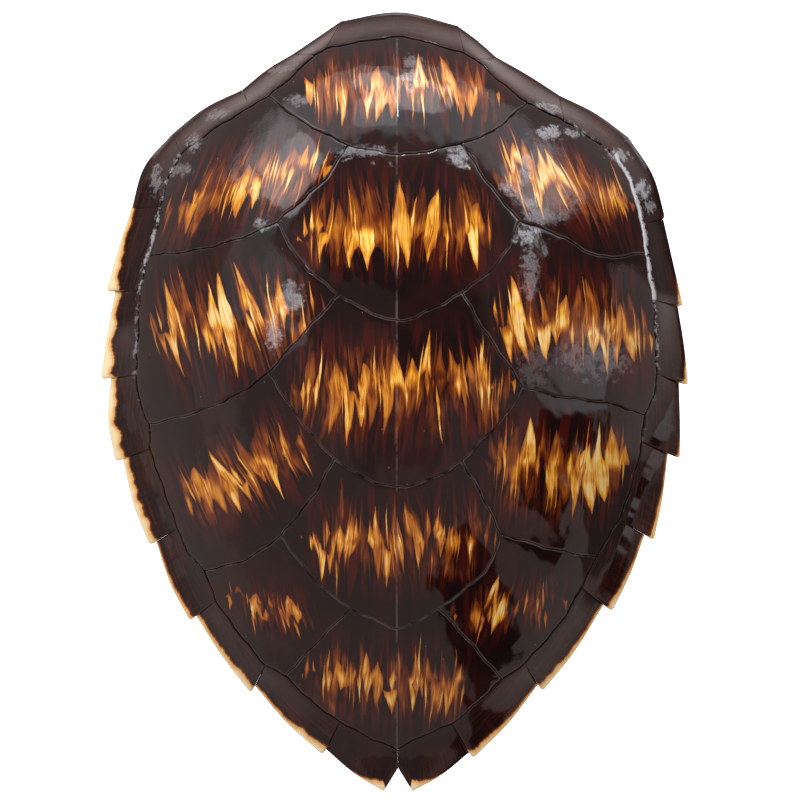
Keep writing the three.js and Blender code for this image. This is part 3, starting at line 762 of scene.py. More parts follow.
def margin_lines(inner_names, rim_points, notch):
    """The inner edge and the rim of a marginal as matched rows of points, drawn in for the seams."""
    inner = chain(inner_names)
    rim = smooth_curve(rim_points, SEAM_STEP)
    if notch:
        rim = np.vstack([rim, smooth_curve([rim_points[-1], notch], SEAM_STEP)[1:]])
    lengths = []
    for line in (inner, rim):
        lengths.append(length_along(line)[-1])
    longest = max(lengths)
    shares = stations(longest) / longest
    rows = []
    for line, length in zip((inner, rim), lengths):
        rows.append(at_lengths(line, MARGIN_GAP / 2 + shares * (length - MARGIN_GAP)))
    return rows[0], rows[1], shares * longest, longest


def round_corner(rim, inner, from_end):
    """Draws the rim in towards a corner, along a quarter of a circle."""
    radius = RIM["corner"]
    short = np.clip(radius - from_end, 0, radius)
    pull = radius - np.sqrt(radius**2 - short**2)
    inward = inner - rim
    inward /= np.linalg.norm(inward, axis=1, keepdims=True)
    return rim + inward * pull[:, None]


def margin_profile(rim, inner):
    """The height over the lines from the rim in to the dome, and the numbers that it follows from."""
    width = np.linalg.norm(inner - rim, axis=1)
    inward = (inner - rim) / width[:, None]
    floor = rim_floor(rim[:, 0], rim[:, 1])
    edge = dome_height(inner[:, 0], inner[:, 1])
    beyond = inner + inward * SLOPE_STEP
    dome_slope = (dome_height(beyond[:, 0], beyond[:, 1]) - edge) / SLOPE_STEP

    def height(d):
        t = d / width
        bow = RIM["slope"] * t * (1 - t) ** 2 - dome_slope * t**2 * (1 - t)
        rise = t**2 * (3 - 2 * t)
        return floor + RIM["thickness"] + (edge - floor - RIM["thickness"]) * rise + width * bow

    return width, inward, floor, height


def margin_rows(rim, inner, from_ends):
    """The rows of points round a marginal's fold, with each point's distance from the rim."""
    width, inward, floor, height = margin_profile(rim, inner)
    end_lip = lip(from_ends)

    def at(d, z):
        return np.column_stack([rim + inward * d[:, None], z])

    def slope(d):
        return (height(d + SLOPE_STEP) - height(d - SLOPE_STEP)) / (2 * SLOPE_STEP)

    def top_height(d, share):
        plan = rim + inward * d[:, None]
        fade = np.clip(share * 2, 0, 1)
        return height(d) + ripple(plan[:, 0], plan[:, 1]) * fade - np.maximum(lip(width - d), end_lip)

    rows, marks = [], []

    def add(points, from_rim, under):
        rows.append(points)
        marks.append(np.column_stack([from_rim, np.full(len(rim), under)]))

    ones = np.ones(len(rim))
    leaf = np.minimum(LEAF["width"], width * LEAF["most_share"])
    for share in np.linspace(0.06, 1, ACROSS_LEAF):
        d = RIM["round"] + (leaf - RIM["round"]) * share
        add(at(d, floor), d, 1)
    add(at(leaf, floor + SCUTE_THICKNESS * 0.5), leaf, 1)
    for share in np.linspace(0, 1, 4):
        d = leaf + (FOLD_DEPTH - leaf) * share
        add(at(d, floor + SCUTE_THICKNESS), d, 1)
    for share in np.linspace(0.25, 0.97, ACROSS_UNDER):
        d = width * share
        steep = slope(d)
        thin = SCUTE_THICKNESS / np.hypot(1, steep)
        add(at(d + steep * thin, height(d) - thin), d, 1)
    add(on_dome(inner, ones * SCUTE_THICKNESS), width, 0)
    lip_shares = 1 - np.array(LIP_STEPS[:LIP_ROWS]) / np.median(width)
    rest = np.linspace(lip_shares[-1], 0, ACROSS_TOP)[1:-1]
    top_shares = np.concatenate([[1.0], lip_shares, rest])
    start = RIM["round"]
    for share in top_shares:
        d = start + (width - start) * share
        add(at(d, top_height(d, share)), d, 0)
    crown = top_height(ones * start, 0)
    waist = floor + RIM["waist"]
    for turn in EDGE_TURNS:
        angle = math.radians(turn)
        d = start - start * math.cos(angle)
        z = waist + (crown - waist if turn > 0 else waist - floor) * math.sin(angle)
        add(at(ones * d, z), ones * d, 0)
    return np.array(rows), np.array(marks)


def end_faces(ring, rim, inner, first, reverse):
    """The triangles over one end of a marginal. The ring's points are numbered from first."""
    direction = inner - rim
    direction = direction / np.linalg.norm(direction)
    flat_ring = [Vector(((p[:2] - rim) @ direction, p[2], 0)) for p in ring]
    faces = []
    for face in tessellate_polygon([flat_ring]):
        a, b, c = (flat_ring[k] for k in face)
        anticlockwise = (b - a).cross(c - a).z > 0
        order = face if anticlockwise != reverse else tuple(face)[::-1]
        faces.append(tuple(first + k for k in order))
    return faces


def pale_widths(pale, across, tip):
    """The width of the pale edge at each share of the rim, widest at the tip, and none past it."""
    start, end = pale
    late = PALE_GROWTH["whole" if start and tip == 1 else "corner"]
    width = start + (end - start) * (across / tip) ** late
    return width if tip == 1 else width * np.clip((tip - across) / TIP_FADE + 1, 0, 1)


def margin_plate(name, inner_names, rim_points, pale, number, notch=None, corner=True, highlight_strip=0.0):
    """A marginal: rows of points round its fold, from its head-end seam to its tail corner."""
    inner, rim, along, length = margin_lines(inner_names, rim_points, notch)
    if corner:
        rim = round_corner(rim, inner, length - along)
    across_in = (inner - rim) / np.linalg.norm(inner - rim, axis=1, keepdims=True)
    inner = inner - across_in * SEAM_GAP / 2
    rim = rim + across_in * RIM["inset"]
    from_ends = np.minimum(along, length - along)
    rows, marks = margin_rows(rim, inner, from_ends)
    count, stops = rows.shape[:2]
    vertices = rows.transpose(1, 0, 2).reshape(-1, 3)
    flat_marks = marks.transpose(1, 0, 2).reshape(-1, 2)
    faces = []
    for i in range(stops - 1):
        for j in range(count):
            k = (j + 1) % count
            faces.append((i * count + j, i * count + k, (i + 1) * count + k, (i + 1) * count + j))
    smooth_count = len(faces)
    for i, reverse in ((0, True), (stops - 1, False)):
        ring = vertices[i * count : (i + 1) * count]
        faces += end_faces(ring, rim[i], inner[i], i * count, reverse)
    if volume_of(vertices, faces) < 0:
        faces = [tuple(face)[::-1] for face in faces]
    across = np.repeat(along / length, count)
    tip = 1 - math.dist(rim_points[-1], notch) / length if notch else 1
    pale_width = pale_widths(pale, across, tip)
    from_inner = np.linalg.norm(vertices[:, :2] - np.repeat(inner, count, axis=0), axis=1)
    # A painted highlight: pale along the inner edge, where the rim would catch the light.
    worn = highlight_strip * np.clip(STRIP_SIZE["reach"] - from_inner / STRIP_SIZE["width"], 0, 1) * (1 - flat_marks[:, 1])
    streaked = np.full(len(vertices), STREAKS["tail" if notch else "side"])
    place = np.column_stack([np.repeat(along, count) + PATTERN_STEP * number, flat_marks[:, 0], pale_width])
    return make_piece(
        name,
        vertices,
        faces,
        range(smooth_count, len(faces)),
        {
            "margin_place": place,
            "margin_look": np.column_stack([flat_marks[:, 1], worn, streaked]),
            "rubbed_and_sheen": rubbed_and_sheen(vertices[:, 0], vertices[:, 1]) * (1 - flat_marks[:, 1:]),
        },
    )


def volume_of(vertices, faces):
    """Six times the volume inside a closed mesh, less than nothing where its faces point inwards."""
    total = 0.0
    for face in faces:
        a = vertices[face[0]]
        for p, q in zip(face[1:], face[2:]):
            total += np.dot(a, np.cross(vertices[p], vertices[q]))
    return total


# ---------------------------------------------------------------- the bone
def radius_to(points):
    """The distance from the top of the dome to a closed row of points, as a function of bearing."""
    points = np.array(points, float)
    bearing = bearing_of(points[:, 0], points[:, 1])
    order = np.argsort(bearing)
    radius = np.hypot(points[:, 0] - DOME_TOP[0], points[:, 1] - DOME_TOP[1])
    bearing, radius = bearing[order], radius[order]
    turn = 2 * math.pi
    bearing = np.concatenate([[bearing[-1] - turn], bearing, [bearing[0] + turn]])
    radius = np.concatenate([[radius[-1]], radius, [radius[0]]])
    return lambda at: np.interp(at, bearing, radius)


SIDES = ("left", "right")
margin_radius = radius_to(
    np.vstack(
        [chain(["nuchal_left", "nuchal_right"])]
        + [chain(sided(names, side)) for side in SIDES for names in MARGINAL_INNER]
    )
)
rim_radius = radius_to([*RIM_SEAMS["left"], *RIM_SEAMS["right"][:-1], NUCHAL_FRONT])


def rib_bearing(index):
    first, step = RIB_BEARING
    return math.radians(first + step * index)


def suture_depth(bearing, radius):
    """The fine grooves between the costal bones, half way from each rib to the next."""
    nearest = np.full_like(bearing, 1e3)
    for index in range(RIBS["pairs"] - 1):
        middle = (rib_bearing(index) + rib_bearing(index + 1)) / 2
        zigzag = BONE_SUTURE["zigzag"] * np.sin(radius / BONE_SUTURE["zigzag_step"]) / np.maximum(radius, 1)
        nearest = np.minimum(nearest, np.abs(np.abs(bearing) - middle - zigzag) * radius)
    return BONE_SUTURE["depth"] * np.exp(-((nearest / BONE_SUTURE["half_width"]) ** 2))


def bone_shield():
    """The shield of bone that the horn grew on: one closed sheet, wedge-shaped at the rim."""
    bearing = -math.pi + (np.arange(BONE["spokes"]) + 0.5) * 2 * math.pi / BONE["spokes"]
    towards = np.column_stack([np.sin(bearing), np.cos(bearing)])
    centre = np.array(DOME_TOP)
    dome_edge = margin_radius(bearing)
    rim = rim_radius(bearing)
    past_notch = (np.abs(bearing) - TAIL_NOTCH_BEARING) / (math.pi - TAIL_NOTCH_BEARING)
    edge = rim - BONE["edge_inset"] - BONE["tail_inset"] * np.clip(past_notch, 0, 1)
    knee = np.minimum(dome_edge, edge - BONE_EDGE["least_width"])
    top_depth = SCUTE_THICKNESS + BONE["gap"]

    def at(radius):
        return centre + towards * radius[:, None]

    _, _, floor, height = margin_profile(at(rim), at(dome_edge))
    below = floor + top_depth

    def on_top(radius):
        plan = at(radius)
        d = rim - radius
        slope = (height(d + SLOPE_STEP) - height(d - SLOPE_STEP)) / (2 * SLOPE_STEP)
        cover = (SCUTE_THICKNESS + BONE["rim_gap"]) * np.hypot(1, slope)
        z = np.maximum(height(d) - cover, below + BONE_EDGE["thickness"])
        wedge = np.column_stack([plan, z])
        dome = on_dome(plan, np.full(len(plan), top_depth))
        return np.where((radius < dome_edge)[:, None], dome, wedge)

    def on_bottom(radius):
        plan = at(radius)
        worn = 0.5 * ripple(plan[:, 0] * 1.7, plan[:, 1] * 1.7)
        depth = top_depth + BONE["thickness"] - suture_depth(bearing, radius) + worn
        return on_dome(plan, depth)

    foot = knee + (rim - knee) * BONE_EDGE["foot"]
    rows = [on_top(knee * share) for share in np.linspace(BONE_HUB, 0.92, BONE_ROWS["top"])]
    rows += [on_top(knee + (edge - knee) * share) for share in np.linspace(0, 1, BONE_ROWS["wedge"])]
    rows += [np.column_stack([at(edge + (foot - edge) * share), below]) for share in (0, 0.5, 1)]
    rows += [on_bottom(knee * share) for share in np.linspace(0.93, BONE_HUB, BONE_ROWS["under"])]
    rows = np.array(rows)
    count, spokes = rows.shape[:2]
    hubs = [
        on_dome(centre[None, :], np.array([depth]))
        for depth in (top_depth, top_depth + BONE["thickness"])
    ]
    vertices = np.vstack([rows.transpose(1, 0, 2).reshape(-1, 3), *hubs])
    top_hub, under_hub = count * spokes, count * spokes + 1
    faces = []
    for i in range(spokes):
        a, b = i * count, ((i + 1) % spokes) * count
        for j in range(count - 1):
            faces.append((a + j, a + j + 1, b + j + 1, b + j))
        faces.append((top_hub, a, b))
        faces.append((under_hub, b + count - 1, a + count - 1))
    if volume_of(vertices, faces) < 0:
        faces = [tuple(face)[::-1] for face in faces]
    return make_piece("bone_shield", vertices, faces)


def rib_line(side, index):
    """The line of one rib over the underside of the shield, from the spine towards the rim."""
    bearing = rib_bearing(index) * side
    reach = margin_radius(bearing) * RIBS["reach"]
    start = np.array([DOME_TOP[0], RIBS["first_y"] - RIBS["pitch"] * index])
    end = np.array(DOME_TOP) + np.array([math.sin(bearing), math.cos(bearing)]) * reach
    bend = start + (end - start) * np.array(RIB_BEND)
    t = np.linspace(0, 1, RIBS["steps"])[:, None]
    return start * (1 - t) ** 2 + bend * 2 * t * (1 - t) + end * t**2


def spine_line():
    y = np.linspace(SPINE["from"], SPINE["to"], SPINE["steps"])
    return np.column_stack([np.full_like(y, DOME_TOP[0]), y])


def spine_girth():
    """The share of its full girth along the spine: a swelling for each vertebra, and thin ends."""
    along = np.linspace(0, 1, SPINE["steps"])
    swelling = SPINE["swelling"]
    girth = 1 - swelling + swelling * np.cos(2 * math.pi * along * SPINE["vertebrae"])
    return girth * np.clip(np.minimum(along, 1 - along) / SPINE["end_taper"], SPINE["end_girth"], 1)


def bar_mesh(name, lines, girths, depth):
    """A mesh of bare edges under the bone, with a girth at each point. Every bar is rooted in the bone."""
    root = SCUTE_THICKNESS + BONE["gap"] + BONE_ROOT
    mesh = bpy.data.meshes.new(name)
    points = [on_dome(line, root + girth * depth) for line, girth in zip(lines, girths)]
    edges, first = [], 0
    for line in lines:
        edges += [(first + i, first + i + 1) for i in range(len(line) - 1)]
        first += len(line)
    mesh.from_pydata((np.vstack(points) * MM).tolist(), edges, [])
    mesh.attributes.new("girth", "FLOAT", "POINT").data.foreach_set("value", np.concatenate(girths))
    return mesh


def bone_bar_tree():
    """A tree that sweeps a flattened round section along bare edges."""
    tree = bpy.data.node_groups.new("bone bars", "GeometryNodeTree")
    face = tree.interface
    face.new_socket("Lines", in_out="INPUT", socket_type="NodeSocketGeometry")
    face.new_socket("Half Width", in_out="INPUT", socket_type="NodeSocketFloat")
    face.new_socket("Depth", in_out="INPUT", socket_type="NodeSocketFloat")
    face.new_socket("Sides", in_out="INPUT", socket_type="NodeSocketInt")
    face.new_socket("Bone", in_out="INPUT", socket_type="NodeSocketMaterial")
    face.new_socket("Bars", in_out="OUTPUT", socket_type="NodeSocketGeometry")
    given = add(tree, "NodeGroupInput").outputs
    girth = add(tree, "GeometryNodeInputNamedAttribute", {"Name": "girth"}, data_type="FLOAT")
    curve = add(tree, "GeometryNodeMeshToCurve", {"Mesh": given["Lines"]})
    level = add(tree, "GeometryNodeSetCurveNormal", {"Curve": curve.outputs[0]}, mode="Z_UP")
    sized = add(
        tree,
        "GeometryNodeSetCurveRadius",
        {"Curve": level.outputs[0], "Radius": girth.outputs["Attribute"]},
    )
    circle = add(tree, "GeometryNodeCurvePrimitiveCircle", {"Resolution": given["Sides"], "Radius": 1.0})
    section = add(tree, "ShaderNodeCombineXYZ", {"X": given["Half Width"], "Y": given["Depth"], "Z": 1.0})
    flattened = add(
        tree,
        "GeometryNodeTransform",
        {"Geometry": circle.outputs["Curve"], "Scale": section.outputs[0]},
    )
    values = {"Curve": sized.outputs[0], "Profile Curve": flattened.outputs[0], "Fill Caps": True}
    swept = add(tree, "GeometryNodeCurveToMesh", values)
    if "Scale" in swept.inputs:
        put(tree, swept.inputs["Scale"], girth.outputs["Attribute"])
    smooth = add(tree, "GeometryNodeSetShadeSmooth", {"Geometry": swept.outputs[0]})
    real = add(tree, "GeometryNodeRealizeInstances", {"Geometry": smooth.outputs[0]})
    coated = add(tree, "GeometryNodeSetMaterial", {"Geometry": real.outputs[0], "Material": given["Bone"]})
    put(tree, add(tree, "NodeGroupOutput").inputs["Bars"], coated.outputs[0])
    return tree


def swept_bars(name, lines, girths, bar, tree, material):
    """The bars that the tree makes along some lines, as a plain mesh."""
    source = bpy.data.objects.new(name + "_lines", bar_mesh(name + "_lines", lines, girths, bar["depth"]))
    bpy.context.scene.collection.objects.link(source)
    modifier = source.modifiers.new("bars", "NODES")
    modifier.node_group = tree
    sockets = {item.name: item.identifier for item in tree.interface.items_tree if item.in_out == "INPUT"}
    modifier[sockets["Half Width"]] = bar["half_width"] * MM
    modifier[sockets["Depth"]] = bar["depth"] * MM
    modifier[sockets["Sides"]] = bar["sides"]
    modifier[sockets["Bone"]] = material
    depsgraph = bpy.context.evaluated_depsgraph_get()
    mesh = bpy.data.meshes.new_from_object(source.evaluated_get(depsgraph))
    source.modifiers.remove(modifier)
    bpy.data.objects.remove(source)
    piece = bpy.data.objects.new(name, mesh)
    mesh.name = name
    bpy.context.scene.collection.objects.link(piece)
    return piece


# ---------------------------------------------------------------- node helpers
def put(tree, socket, value):
    """Links a socket to an input, or sets the input to a plain value."""
    if isinstance(value, bpy.types.NodeSocket):
        tree.links.new(value, socket)
    else:
        socket.default_value = value


def add(tree, kind, values=None, **settings):
    """Adds a node with its options, and fills its inputs with values or sockets."""
    node = tree.nodes.new(kind)
    for name, value in settings.items():
        setattr(node, name, value)
    for key, value in (values or {}).items():
        put(tree, node.inputs[key], value)
    return node


def calc(tree, operation, a, b=None, c=None, clamp=False):
    node = add(tree, "ShaderNodeMath", {0: a}, operation=operation, use_clamp=clamp)
    for number, value in ((1, b), (2, c)):
        if value is not None:
            put(tree, node.inputs[number], value)
    return node.outputs[0]


def times(tree, first, *others):
    """The product of two or more values."""
    product = first
    for other in others:
        product = calc(tree, "MULTIPLY", product, other)
    return product


def between(tree, share, low, high):
    """Low where the share is 0, high where it is 1."""
    return calc(tree, "MULTIPLY_ADD", share, high - low, low)


def smooth_step(tree, value, low, high):
    """0 below low, 1 above high, and a smooth turn between them."""
    values = {"Value": value, "From Min": low, "From Max": high}
    return add(tree, "ShaderNodeMapRange", values, interpolation_type="SMOOTHSTEP").outputs["Result"]


def mix_colour(tree, share, a, b):
    node = add(tree, "ShaderNodeMix", {0: share, 6: a, 7: b}, data_type="RGBA")
    return node.outputs[2]


def mix_value(tree, share, a, b):
    return add(tree, "ShaderNodeMix", {0: share, 2: a, 3: b}, data_type="FLOAT").outputs[0]


def combine(tree, x, y, z=0.0):
    return add(tree, "ShaderNodeCombineXYZ", {"X": x, "Y": y, "Z": z}).outputs[0]


def noise(tree, place, scale, detail, dimensions, roughness=0.5):
    values = {"Vector": place, "Scale": scale, "Detail": detail, "Roughness": roughness}
    return add(tree, "ShaderNodeTexNoise", values, noise_dimensions=dimensions).outputs[0]


def solid_noise(tree, place, scale, detail, roughness=0.5):
    """Noise all through the piece. The scale is in waves for each mm."""
    return noise(tree, place, scale, detail, "3D", roughness)


def stretched_noise(tree, u, t, across, along, detail, shift=0.0):
    """Noise in streaks: across and along are the sizes of a streak."""
    over = calc(tree, "MULTIPLY_ADD", u, 1 / across, shift)
    return noise(tree, combine(tree, over, times(tree, t, 1 / along)), 1.0, detail, "2D")


def ramp(tree, value, stops):
    node = add(tree, "ShaderNodeValToRGB", {"Fac": value})
    elements = node.color_ramp.elements
    while len(elements) < len(stops):
        elements.new(0.5)
    for element, (position, colour) in zip(elements, stops):
        element.position = position
        element.color = hexcolour(colour)
    return node.outputs["Color"]


def hexcolour(text):
    """A linear colour from its usual six digits."""
    parts = [int(text[i : i + 2], 16) / 255 for i in (0, 2, 4)]
    linear = [p / 12.92 if p <= 0.04045 else ((p + 0.055) / 1.055) ** 2.4 for p in parts]
    return (*linear, 1.0)


def new_group(name, inputs, outputs):
    """A shader node group. Inputs and outputs are name: kind."""
    tree = bpy.data.node_groups.new(name, "ShaderNodeTree")
    for label, kind in inputs.items():
        tree.interface.new_socket(label, in_out="INPUT", socket_type="NodeSocket" + kind)
    for label, kind in outputs.items():
        tree.interface.new_socket(label, in_out="OUTPUT", socket_type="NodeSocket" + kind)
    given = add(tree, "NodeGroupInput").outputs
    result = add(tree, "NodeGroupOutput").inputs
    return tree, given, result


def place_group(tree, group, values):
    node = tree.nodes.new("ShaderNodeGroup")
    node.node_tree = group
    for key, value in values.items():
        put(tree, node.inputs[key], value)
    return node.outputs


def attribute(tree, name, output="Vector"):
    return add(tree, "ShaderNodeAttribute", attribute_name=name).outputs[output]


def xyz(tree, vector):
    return add(tree, "ShaderNodeSeparateXYZ", {0: vector}).outputs


# ---------------------------------------------------------------- shader groups
def draws(tree, cell, seed):
    """Three random numbers for a cell."""
    where = combine(tree, calc(tree, "ADD", cell, 0.5), seed)
    drawn = add(tree, "ShaderNodeTexWhiteNoise", {"Vector": where}, noise_dimensions="2D")
    return xyz(tree, drawn.outputs["Color"])


# What a blade is drawn from: where its tip lies across it, its height and how strongly short ones are
# favoured, how hollow its flanks are, how far its tail half makes up for its head half, how sharp its
# edge is, and the width and tone of its darker fringe.
BLADE = {
    "tip": (0.2, 0.8),
    "height": (0.2, 1.0),
    "height_power": 1.3,
    "flank": (1.15, 1.85),
    "balance": 0.75,
    "edge": (-0.6, 2.4),
    "fringe": 13.0,
    "fringe_tone": 0.55,
}


def tip_rise(tree, across, peak, power):
    """The height of a pointed blade over its width: full flanks for a low power, hollow for a high one."""
    tip = between(tree, peak, *BLADE["tip"])
    up = calc(tree, "DIVIDE", across, tip)
    down = calc(tree, "DIVIDE", calc(tree, "SUBTRACT", 1.0, across), calc(tree, "SUBTRACT", 1.0, tip))
    return calc(tree, "POWER", calc(tree, "MINIMUM", up, down), power)


def blade_row_group():
    """One row of blades side by side: what they cover, and how bright each one is."""
    inputs = ("U", "T", "Head", "Tail", "Width", "Stagger", "Share", "Dull", "Bright", "Seed")
    tree, given, result = new_group(
        "blade row", {name: "Float" for name in inputs}, {"Cover": "Float", "Tone": "Float"}
    )
    place = calc(tree, "ADD", calc(tree, "DIVIDE", given["U"], given["Width"]), given["Seed"])
    cell = calc(tree, "FLOOR", place)
    across = calc(tree, "SUBTRACT", place, cell)

    def half_blade(peak, height, curve, reach):
        tall = between(tree, calc(tree, "POWER", height, BLADE["height_power"]), *BLADE["height"])
        rise = tip_rise(tree, across, peak, between(tree, curve, *BLADE["flank"]))
        return times(tree, rise, tall, reach)

    head_height, head_peak, curve = draws(tree, cell, calc(tree, "ADD", given["Seed"], 0.21))
    tail_height, tail_peak, shift = draws(tree, cell, calc(tree, "ADD", given["Seed"], 0.53))
    present, tone, _ = draws(tree, cell, calc(tree, "ADD", given["Seed"], 0.83))
    rest = calc(tree, "SUBTRACT", 1.0, head_height)
    tail_height = mix_value(tree, BLADE["balance"], tail_height, rest)
    t = calc(tree, "SUBTRACT", shift, 0.5)
    t = calc(tree, "MULTIPLY_ADD", t, given["Stagger"], given["T"])
    above = calc(tree, "SUBTRACT", half_blade(head_peak, head_height, curve, given["Head"]), t)
    below = calc(tree, "ADD", half_blade(tail_peak, tail_height, curve, given["Tail"]), t)
    depth = calc(tree, "MINIMUM", above, below)
    shown = calc(tree, "LESS_THAN", present, given["Share"])
    put(tree, result["Cover"], times(tree, smooth_step(tree, depth, *BLADE["edge"]), shown))
    full = mix_value(tree, tone, given["Dull"], given["Bright"])
    fringe = mix_value(tree, smooth_step(tree, depth, 0.0, BLADE["fringe"]), BLADE["fringe_tone"], 1.0)
    put(tree, result["Tone"], times(tree, full, fringe))
    return tree


# The connected band: its cells' width, how many show, their brightest tone and how far the band swings,
# each where flames stand apart and together; what its cells are drawn from, as for a blade; and its
# tones, with how far past the middle the tones of one edge give way to those of the other.
ZIGZAG = {
    "widths": (10.5, 13.5),
    "shares": (0.5, 1.0),
    "bright": (0.8, 0.97),
    "swing": (66, 16),
    "tail_width": 0.87,
    "base": 0.3,
    "thickness": (0.35, 1.65),
    "height": (0.36, 1.0),
    "flank": (0.6, 1.7),
    "hidden": -4.0,
    "edge": (-0.5, 2.0),
    "fringe": 11.0,
    "fringe_tone": 0.62,
    "reach": 0.95,
    "dull": 0.29,
    "tone_power": 1.15,
    "tone_range": (0.08, 0.92),
    "tone_blend": 7.0,
    "seed": 31.4,
    "tail_seed": 17.31,
}


def zigzag_group():
    """A connected band of flames: tips to the head and tips to the tail, each cell with its own tone."""
    inputs = ("U", "T", "Head", "Tail", "Width", "Base", "Share", "Dull", "Bright", "Seed")
    tree, given, result = new_group(
        "zigzag", {name: "Float" for name in inputs}, {"Cover": "Float", "Tone": "Float"}
    )

    def tips(width, seed, reach, t):
        """How far inside one of the band's two edges a point is, and the tone of its cell."""
        place = calc(tree, "ADD", calc(tree, "DIVIDE", given["U"], width), seed)
        cell = calc(tree, "FLOOR", place)
        across = calc(tree, "SUBTRACT", place, cell)
        height, peak, tone = draws(tree, cell, calc(tree, "ADD", seed, 0.37))
        thick, curve, present = draws(tree, cell, calc(tree, "ADD", seed, 0.81))
        rise = tip_rise(tree, across, peak, between(tree, curve, *ZIGZAG["flank"]))
        rise = times(tree, rise, between(tree, height, *ZIGZAG["height"]))
        base = times(tree, given["Base"], between(tree, thick, *ZIGZAG["thickness"]))
        edge = times(tree, mix_value(tree, base, rise, 1.0), reach)
        shown = calc(tree, "LESS_THAN", present, given["Share"])
        edge = mix_value(tree, shown, ZIGZAG["hidden"], edge)
        return calc(tree, "SUBTRACT", edge, t), tone

    above, head_tone = tips(given["Width"], given["Seed"], given["Head"], given["T"])
    tail_width = times(tree, given["Width"], ZIGZAG["tail_width"])
    tail_seed = calc(tree, "ADD", given["Seed"], ZIGZAG["tail_seed"])
    below, tail_tone = tips(tail_width, tail_seed, given["Tail"], times(tree, given["T"], -1.0))
    depth = calc(tree, "MINIMUM", above, below)
    put(tree, result["Cover"], smooth_step(tree, depth, *ZIGZAG["edge"]))
    ahead = smooth_step(tree, given["T"], -ZIGZAG["tone_blend"], ZIGZAG["tone_blend"])
    tone = mix_value(tree, ahead, tail_tone, head_tone)
    tone = smooth_step(tree, calc(tree, "POWER", tone, ZIGZAG["tone_power"]), *ZIGZAG["tone_range"])
    tone = mix_value(tree, tone, given["Dull"], given["Bright"])
    fringe = mix_value(tree, smooth_step(tree, depth, 0.0, ZIGZAG["fringe"]), ZIGZAG["fringe_tone"], 1.0)
    put(tree, result["Tone"], times(tree, tone, fringe))
    return tree


# Rows of blades behind the connected band and in front of it, the hindmost first: width, stagger,
# share of the reach, how many show where flames stand apart and where they run together, and the
# dullest and the brightest tone.
BACK_ROWS = (
    (9.5, 16, 1.0, 0.75, 0.8, 0.13, 0.34),
    (5.2, 26, 1.05, 0.55, 0.5, 0.2, 0.46),
)
FRONT_ROWS = (
    (6.2, 14, 0.6, 0.42, 0.4, 0.6, 1.0),
    (3.0, 30, 0.95, 0.35, 0.25, 0.45, 0.95),
)
STAGGER_SHARES = (1.4, 0.6)  # of a row's stagger, where flames stand apart and together
LEAST_REACH = {"row": 0.45, "zigzag": 0.3}  # at the weak ends of a band, as a share of the full reach
ROW_SEED = {"first": 0.5, "step": 3.37}
FLAME_STREAKS = {  # how wide and how long a streak is, its detail and a shift
    "broad": (34, 70, 1.0, 0.0),
    "fine": (3.4, 16, 2.0, 7.7),
    "fan": (45, 900, 1.0, 4.4),
    "embers": (2.6, 42, 3.0, 5.9),
    "fields": (20, 90, 1.0, 15.1),
    "wander": (19, 900, 1.0, 21.7),
    "fibre": (1.5, 34, 3.0, 3.1),
    "patch": (15, 26, 2.0, 11.3),
    "gold": (7, 15, 1.0, 13.9),
    "red": (5, 60, 2.0, 27.5),
}
FLAME_SWAY = {"fan": 0.35, "broad": 4.5, "fine": 0.65}  # how far to either side
EMBER_HEAT = (0.08, 0.32)  # the dimmest and the brightest embers in the ground
FIBRE_HEAT = (1.06, 0.8)  # by how much the heat is multiplied off and on a fibre
PATCH_HEAT = (1.1, 0.76)


